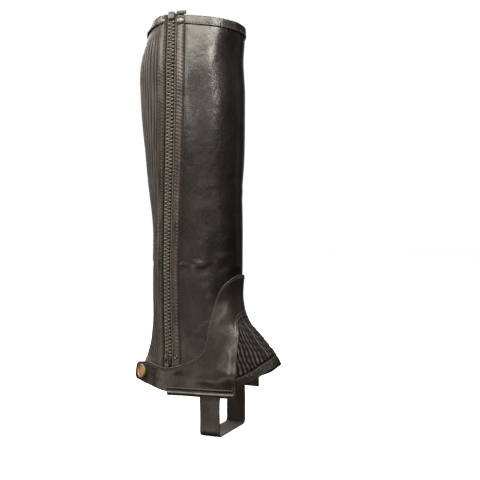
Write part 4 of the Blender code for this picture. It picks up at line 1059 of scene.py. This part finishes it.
def makeSlider():
    own = zipFit
    centre = own["sliderFoot"] + own["sliderTall"] / 2
    matrix = placing(float(zipAngle(centre)), centre, own["sliderOut"] + own["sliderThick"] / 2)
    half = np.array([own["sliderWide"], own["sliderThick"], own["sliderTall"]]) / 2
    corners = np.array([(-0.68, -1), (0.68, -1), (0.8, -0.5), (1, 0.45), (0.86, 1), (-0.86, 1), (-1, 0.45),
                        (-0.8, -0.5)])
    for _ in range(3):            # corner cutting makes the outline round
        ahead = np.roll(corners, -1, axis=0)
        corners = np.stack([corners * 0.8 + ahead * 0.2, corners * 0.2 + ahead * 0.8], 1).reshape(-1, 2)
    steps = ((1, 0.78), (0.98, 0.90), (0.86, 0.985), (0.70, 1.0), (0.34, 1.0), (0.26, 0.86), (-0.26, 0.86),
             (-0.34, 1.0), (-0.70, 1.0), (-0.86, 0.985), (-0.98, 0.92), (-1, 0.84), (-1, 0.72), (-0.90, 0.68),
             (-0.88, 0.3))
    finishPiece(slab("zipSlider", corners, half, steps, matrix, darkMetal), "zip_metal", "zip_slider")

    face, thick = -half[1] - gap, 0.7
    arch = np.array([(face - thick, 5.2), (face - 2.2, 4.6), (face - 2.9, 3.2), (face - 2.9, 0.4), (face - 2.2, -1.0),
                     (face - thick, -1.6)])
    share = np.linspace(0, 1, 26)
    lengths = lengthAlong(arch) / lengthAlong(arch)[-1]
    path = np.stack([0 * share, through(lengths, arch[:, 0], share), through(lengths, arch[:, 1], share)], -1) * mm
    bridge = tube("zipBridge", path, thick, 14, darkMetal)
    bridge.matrix_world = matrix
    finishPiece(bridge, "zip_metal", "zip_bridge")

    wide, tall, slotWide, slotTall, bar = 5.0, 24.0, 2.6, 5.0, 1.2

    def rounded(x0, x1, y0, y1, radius):
        found = []
        for cx, cy, start in ((x1 - radius, y1 - radius, 0), (x0 + radius, y1 - radius, 90),
                              (x0 + radius, y0 + radius, 180), (x1 - radius, y0 + radius, 270)):
            for t in np.radians(np.linspace(start, start + 90, 7)):
                found.append((cx + radius * math.cos(t), cy + radius * math.sin(t)))
        return found

    plate = bpy.data.curves.new("pullOutline", "CURVE")
    plate.dimensions = "2D"
    plate.fill_mode = "BOTH"
    plate.extrude = 0.25 * mm
    plate.bevel_depth = 0.1 * mm
    plate.bevel_resolution = 2
    shapes = [rounded(-wide / 2 + 0.1, wide / 2 - 0.1, -tall + 0.1, -0.1, 1.3),
              rounded(-slotWide / 2, slotWide / 2, -bar - slotTall, -bar, 0.8),
              rounded(-0.8, 0.8, -tall + 2.2, -bar - slotTall - 3.0, 0.75)]
    for shape in shapes:
        spline = plate.splines.new("POLY")
        spline.points.add(len(shape) - 1)
        spline.use_cyclic_u = True
        for point, (x, y) in zip(spline.points, shape):
            point.co = (x * mm, y * mm, 0.0, 1.0)
    guide = bpy.data.objects.new("pullOutline", plate)
    chap.objects.link(guide)
    bpy.context.view_layer.update()
    mesh = bpy.data.meshes.new_from_object(guide.evaluated_get(bpy.context.evaluated_depsgraph_get()))
    bpy.data.objects.remove(guide, do_unlink=True)
    mesh.name = "zipPull"
    mesh.materials.clear()
    mesh.materials.append(darkMetal)
    pull = bpy.data.objects.new("zipPull", mesh)
    chap.objects.link(pull)
    tidyUp(pull, 0.000002)
    hang = Matrix.Translation(Vector((0.0, (face - 1.15) * mm, 2.4 * mm)))
    pull.matrix_world = matrix @ hang @ Matrix.Rotation(math.radians(90 + own["pullLean"]), 4, "X")
    finishPiece(pull, "zip_metal", "zip_pull")


binding = {"depth": 8.6, "wall": 1.2, "steps": 300}


def makeBinding():
    own = binding
    outer, inner, wall = frontPanel["wall"] + gap, -gap, own["wall"]
    crest, bend, low = gap + wall, 1.5, -own["depth"]
    arc = np.radians(np.linspace(0, 90, 6))
    out = [(outer + wall - 0.5, low), (outer + wall - 0.1, low + 0.15), (outer + wall, low + 0.5)]
    out += [(outer + wall, h) for h in np.linspace(low + 1.2, crest - bend - 0.8, 6)]
    out += [(outer + wall - bend + bend * math.cos(t), crest - bend + bend * math.sin(t)) for t in arc]
    out += [(inner - wall + bend - bend * math.cos(t), crest - bend + bend * math.sin(t)) for t in arc[::-1]]
    out += [(inner - wall, h) for h in np.linspace(crest - bend - 0.8, low + 1.2, 5)]
    out += [(inner - wall, low + 0.5), (inner - wall + 0.1, low + 0.15), (inner - wall + 0.5, low)]
    back = [(inner, low), (inner, gap), (outer, gap), (outer, low)]
    profile = np.array(out + back)
    skin = np.arange(len(profile)) < len(out)
    first = angleAt(leg["rimHeight"], zipFit["frontFar"] + 2 * gap)
    last = angleAt(leg["rimHeight"], -zipFit["rearFar"] - 2 * gap) + 360.0
    angle = np.linspace(first, last, own["steps"] + 1)[:, None] + 0 * profile[:, 0]
    run = distanceAt(409 + 0 * angle, angle)
    up = rim(angle) + profile[:, 1]
    puckers = 0.10 * np.sin(run * 2 * np.pi / 3.4) * bell(profile[:, 1] + own["depth"] - 1.9, 1.2)
    lumps = 0.16 * np.sin(run / 5.3 + 1.3 * np.sin(run / 11.0)) + 0.12 * np.sin(run / 2.9 + 0.6)
    groove = -0.30 * bell(profile[:, 1] + own["depth"] - 1.9, 0.6)
    lift = (puckers + lumps * smooth(-own["depth"], -own["depth"] + 4, profile[:, 1]) + groove) * skin
    side = np.where(profile[:, 0] > 1.0, 1.0, -1.0)
    points = onLeg(angle, up, profile[:, 0] + lift * side)
    shares = np.minimum(profile[:, 1] + own["depth"], 9.0) + 0 * angle
    piece = swept("topBinding", points, [bindingLeather], {"inset": shares.reshape(-1), "lift": lift.reshape(-1)})
    finishPiece(piece, "leather", "top_binding")
    tracks = []
    for rest in (outer + wall + 0.02, inner - wall - 0.02):
        a = np.linspace(first + 0.6, last - 0.6, 600)
        h = rim(a) - own["depth"] + 1.9
        outward = formNormal(a, h) * (1 if rest > 0 else -1)
        tracks.append((onLeg(a, h, rest), outward))
    sew("bindingStitches", tracks)


gusset = {"half": 60.0, "pitch": 5.0, "band": 9.0, "under": 4.0, "wall": 1.0, "rise": 2.4, "fan": 0.55,
          "bandEnds": 62.0}       # angles to both sides of the ridge


def gussetFoot(angle):
    return through(*np.array(edges["gussetFoot"], dtype=float).T, np.clip(np.abs(angle), 0, 64))


def makeGusset():
    own = gusset
    angles, heights = alongEdge("notch", np.linspace(0, 1, 200))
    fromRidge = distanceAt(heights, -angles) - distanceAt(heights, 0 * angles)
    order = np.argsort(fromRidge)
    ribs = int(2 * own["half"] / own["pitch"])

    def place(u, v, out):
        distance = mix(-own["half"], own["half"], u)
        top = np.interp(np.abs(distance), fromRidge[order], heights[order])
        height = 40.0 + 0 * u
        for _ in range(settlingRounds):
            angle = angleAt(height, distanceAt(height, 0 * height) + distance)
            low = gussetFoot(angle) + own["band"] + gap
            high = np.maximum(top + own["under"], low + 2.0)
            height = mix(low, high, v)
        return onLeg(angle, height, out)

    uneven = np.random.default_rng(3).uniform(0.75, 1.15, ribs + 1)

    def ribAt(distance, height, foot):     # the ribs spread out from the top of the notch
        halfway = np.interp(height, heights[::-1], fromRidge[::-1])
        spread = (own["half"] / np.clip(halfway, 12.0, None)) ** own["fan"]
        phase = distance * spread / own["pitch"] + 0.16 * np.sin(foot / 6.0 + distance / 5.0) + 8 * ribs
        weight = uneven[phase.astype(int) % ribs]
        lumps = 1 + 0.16 * np.sin(foot / 1.3 + 5 * np.sin(2.1 * phase.astype(int)))
        lumps = lumps + 0.08 * np.sin(foot / 0.45 + phase)
        return weight * np.abs(np.sin(np.pi * phase)) ** 0.95 * lumps

    def rise(u, v, left, right, foot, top):
        height = place(u, v, 0 * u)[..., 2] / mm + leg["holdHeight"]
        return own["rise"] * ribAt(mix(-own["half"], own["half"], u), height, foot)

    piece = shell("instepGusset", place, ribs * 9, 54, own["wall"], [elastic], rise, 0.4)
    finishPiece(piece, "elastic", "instep_gusset")

    def bandPlace(u, v, out):
        angle = mix(-own["bandEnds"], own["bandEnds"], u)
        return onLeg(angle, gussetFoot(angle) + own["band"] * v, out)

    def bandRise(u, v, left, right, foot, top):     # the ribs run out in the band
        angle = mix(-own["bandEnds"], own["bandEnds"], u)
        height = gussetFoot(angle) + own["band"] * v
        ribs = ribAt(distanceAt(height, angle) - distanceAt(height, 0 * angle), height, foot)
        sewn = 0.22 * bell(foot - 1.8, 0.6)
        return 1.3 + 0.7 * ribs * smooth(1.5, 7.0, foot) - sewn - 0.5 * (1 - smooth(0.0, 2.2, top))

    # its last argument sets how strongly the painted groove shade shows in the band
    band = shell("gussetBand", bandPlace, 240, 20, own["wall"], [elastic], bandRise, 0.5,
                 lambda u, v: 0.5 * smooth(0.2, 0.8, v))
    finishPiece(band, "elastic", "gusset_band")
    share = np.linspace(0.02, 0.98, 400)
    tracks = [seamTrack(bandPlace, share, 0 * share + 1 - 1.6 / own["band"], 0 * share + own["wall"] + 1.45)]
    sew("bandStitches", tracks)


trim = {"tall": 9.6, "ridges": (2.6, 8.0), "ridgeRise": 1.0, "ridgeSpread": 1.3, "from": -102.0, "to": -58.6}


def makeTrims():
    own, pieces = trim, []
    for name, first, last, node in (("hemTrimOuter", own["from"], own["to"], "hem_trim_outer"),
                                    ("hemTrimInner", -own["to"], -own["from"], "hem_trim_inner")):
        def place(u, v, out, first=first, last=last):
            angle = mix(first, last, u)
            height = -0.6 + own["tall"] * v
            under = np.where(angle < 0, liftAt(np.minimum(distanceAt(height, angle), 60.0)), anklePanel["out"])
            return onLeg(angle, height, under + anklePanel["wall"] + gap + out)

        def rise(u, v, left, right, foot, top):
            height = -0.6 + own["tall"] * v
            ridges = np.max([bell(height - ridge, own["ridgeSpread"]) for ridge in own["ridges"]], axis=0)
            return own["ridgeRise"] * ridges * (1 + 0.10 * np.sin(left / 3.1) + 0.06 * np.sin(left / 1.2))

        piece = shell(name, place, 90, 40, 0.8, [trimLeather], rise, 0.4)
        pieces.append(finishPiece(piece, "leather", node))
    return pieces


stirrup = {"x": (21.5, 45.0), "top": 12.0, "under": -44.0, "bend": 6.0, "wall": 1.6, "side": 37.4}


def makeStirrup():
    own = stirrup
    side, bend, under = own["side"], own["bend"], own["under"]
    down = [(side, h) for h in np.linspace(own["top"], under + bend, 24)]
    turn = [(side - bend + bend * math.cos(t), under + bend - bend * math.sin(t))
            for t in np.radians(np.linspace(10, 90, 9))]
    half = down + turn + [(y, under) for y in np.linspace(side - bend - 4, 0, 10)]
    path = np.array([(-y, z) for y, z in half] + [(y, z) for y, z in half[-2::-1]])
    lengths = lengthAlong(path)
    ahead = unit(np.gradient(path, axis=0))

    def place(u, v, out):
        at = v * lengths[-1]
        y, z, ay, az = (np.interp(at, lengths, column) for column in (*path.T, *ahead.T))
        x = mix(own["x"][1], own["x"][0], u)
        rear, front, flank, _ = sectionAt(np.maximum(z, 0.0))
        curved = flank * np.sqrt(1 - (x / front) ** 2) + 0.4 + own["wall"]
        sway = 0.5 * np.sin(z / 13.0 + 1.0) * smooth(0, -16, z) * (1 - smooth(-30, -42, z))
        wide = mix(np.abs(y) + sway * (np.abs(y) > 20), curved, smooth(-20.0, 4.0, z))
        deep = own["wall"] - out
        return np.stack([x, np.sign(y) * wide - az * deep, z + ay * deep - leg["holdHeight"]], -1) * mm

    def rise(u, v, left, right, foot, top):
        return -0.25 * bell(left - 2.2, 0.6) - 0.25 * bell(right - 2.2, 0.6) + 0.15 * np.sin(np.pi * u)

    piece = shell("stirrupStrap", place, 30, 150, own["wall"], [strapLeather, flesh], rise, 0.6)
    finishPiece(piece, "strap", "stirrup_strap")
    share = np.linspace(0.08, 0.92, 500)
    wide = own["x"][1] - own["x"][0]
    tracks = [seamTrack(place, 0 * share + offset / wide, share, 0 * share + own["wall"] + 0.04)
              for offset in (2.2, wide - 2.2)]
    sew("stirrupStitches", tracks)


def ankleStitches():
    tracks = []
    share = np.linspace(0.015, 0.985, 1600)
    rungs = np.linspace(0, 1, 12)[:, None]
    column = anklePlace(share + 0 * rungs, rungs + 0 * share, 0 * (share + rungs))
    tall = np.linalg.norm(np.diff(column, axis=0), axis=-1).sum(axis=0) / mm
    out = anklePanel["wall"] + 0 * share
    tracks.append(seamTrack(anklePlace, share, 1 - 2.6 / tall, out - 0.06))
    inside = (share > 0.235) & (share < 0.765)
    for offset in (2.4, 6.2):
        tracks.append(seamTrack(anklePlace, share[inside], (offset / tall)[inside], out[inside] - 0.06))
    sew("ankleStitches", tracks)


def farSeamStitches(place):
    own = frontPanel
    v = np.linspace(0.10, 0.965, 900)
    fromEdge = own["sewnAt"] / own["girth"]
    sew("farSeamStitches", [seamTrack(place, 1 - fromEdge + 0 * v, v, 0 * v + own["wall"] - 0.12)])


rivets = {"front": 10.3, "rear": -12.2, "belowRim": 6.2, "radius": 4.6, "rise": 2.4, "smallAt": 10.4,
          "smallHeight": 41.5}


def makeFasteners():
    out = zipFit["placketOut"] + zipFit["placketWall"] + gap

    def domed(radius, rise):
        turns = np.radians(np.linspace(0, 90, 9))
        dome = [(radius * 0.86 * math.sin(t), rise * 0.36 + rise * 0.64 * math.cos(t)) for t in turns]
        return dome + [(radius * 0.90, rise * 0.24), (radius * 0.97, rise * 0.24), (radius, rise * 0.12),
                       (radius, 0.02), (radius * 0.98, 0.0), (0.0, 0.0)]

    dome = domed(rivets["radius"], rivets["rise"])
    for name, distance, node in (("rivetTopFront", rivets["front"], "rivet_top_front"),
                                 ("rivetTopRear", rivets["rear"], "rivet_top_rear")):
        height = float(rim(angleAt(leg["rimHeight"], distance))) - rivets["belowRim"]
        matrix = placing(float(angleAt(height, distance)), height, out)
        finishPiece(turned(name, dome, matrix, 48, darkMetal), "zip_metal", node)
    matrix = placing(float(angleAt(rivets["smallHeight"], rivets["smallAt"])), rivets["smallHeight"], out)
    ring = [(0.0, 0.45), (1.2, 0.45), (1.45, 0.6), (1.7, 1.0), (2.0, 1.2), (2.35, 1.05), (2.6, 0.6), (2.6, 0.02),
            (2.5, 0.0), (0.0, 0.0)]
    finishPiece(turned("rivetBottomFront", ring, matrix, 32, darkMetal), "zip_metal", "rivet_bottom_front")

    along, height = np.array(strap["capAlong"]), np.array(strap["capHeight"])
    spot = Vector(strapPoint(along, height))
    ahead = (Vector(strapPoint(along + 1, height)) - spot).normalized()
    upward = (Vector(strapPoint(along, height + 2)) - Vector(strapPoint(along, height - 2))).normalized()
    outward = upward.cross(ahead).normalized()
    if outward.y > 0:
        outward = -outward
    across = outward.cross(upward).normalized()
    turn = Matrix((across, -outward, across.cross(-outward))).transposed().to_4x4()
    onFace = Matrix.Translation(spot + outward * (anklePanel["wall"] + gap) * mm) @ turn
    cap = [(0.0, 2.15), (1.5, 2.12), (3.0, 2.02), (4.4, 1.84), (5.2, 1.68), (5.55, 1.50), (5.75, 1.42), (5.95, 1.52),
           (6.15, 1.95), (6.4, 2.35), (6.75, 2.58), (7.05, 2.58), (7.35, 2.36), (7.6, 1.9), (7.74, 1.3), (7.75, 0.7),
           (7.66, 0.2), (7.5, 0.0), (0.0, 0.0)]
    finishPiece(turned("snapCap", cap, onFace, 64, brass), "brass", "snap_cap")
    behind = Matrix.Translation(spot - outward * (gap + 1.5) * mm) @ turn
    socket = [(0.0, 1.5), (4.3, 1.5), (4.5, 1.3), (4.5, 0.25), (4.25, 0.0), (2.6, 0.0), (2.3, 0.15), (2.2, 0.9),
              (0.0, 0.9)]
    finishPiece(turned("snapSocket", socket, behind, 48, brass), "brass", "snap_socket")


makeStretchPanel()
panel, panelPlace = makeFrontPanel()
print("half chap: leg panels made")
ankle = makeAnklePanel()
sidePieces = makePlackets()
makeBinding()
makeTeeth()
makeZipEnds()
makeSlider()
print("half chap: zip made")
makeGusset()
makeTrims()
makeStirrup()
makeFasteners()
placketStitches()
ankleStitches()
farSeamStitches(panelPlace)
print("half chap: ankle, strap and fasteners made")
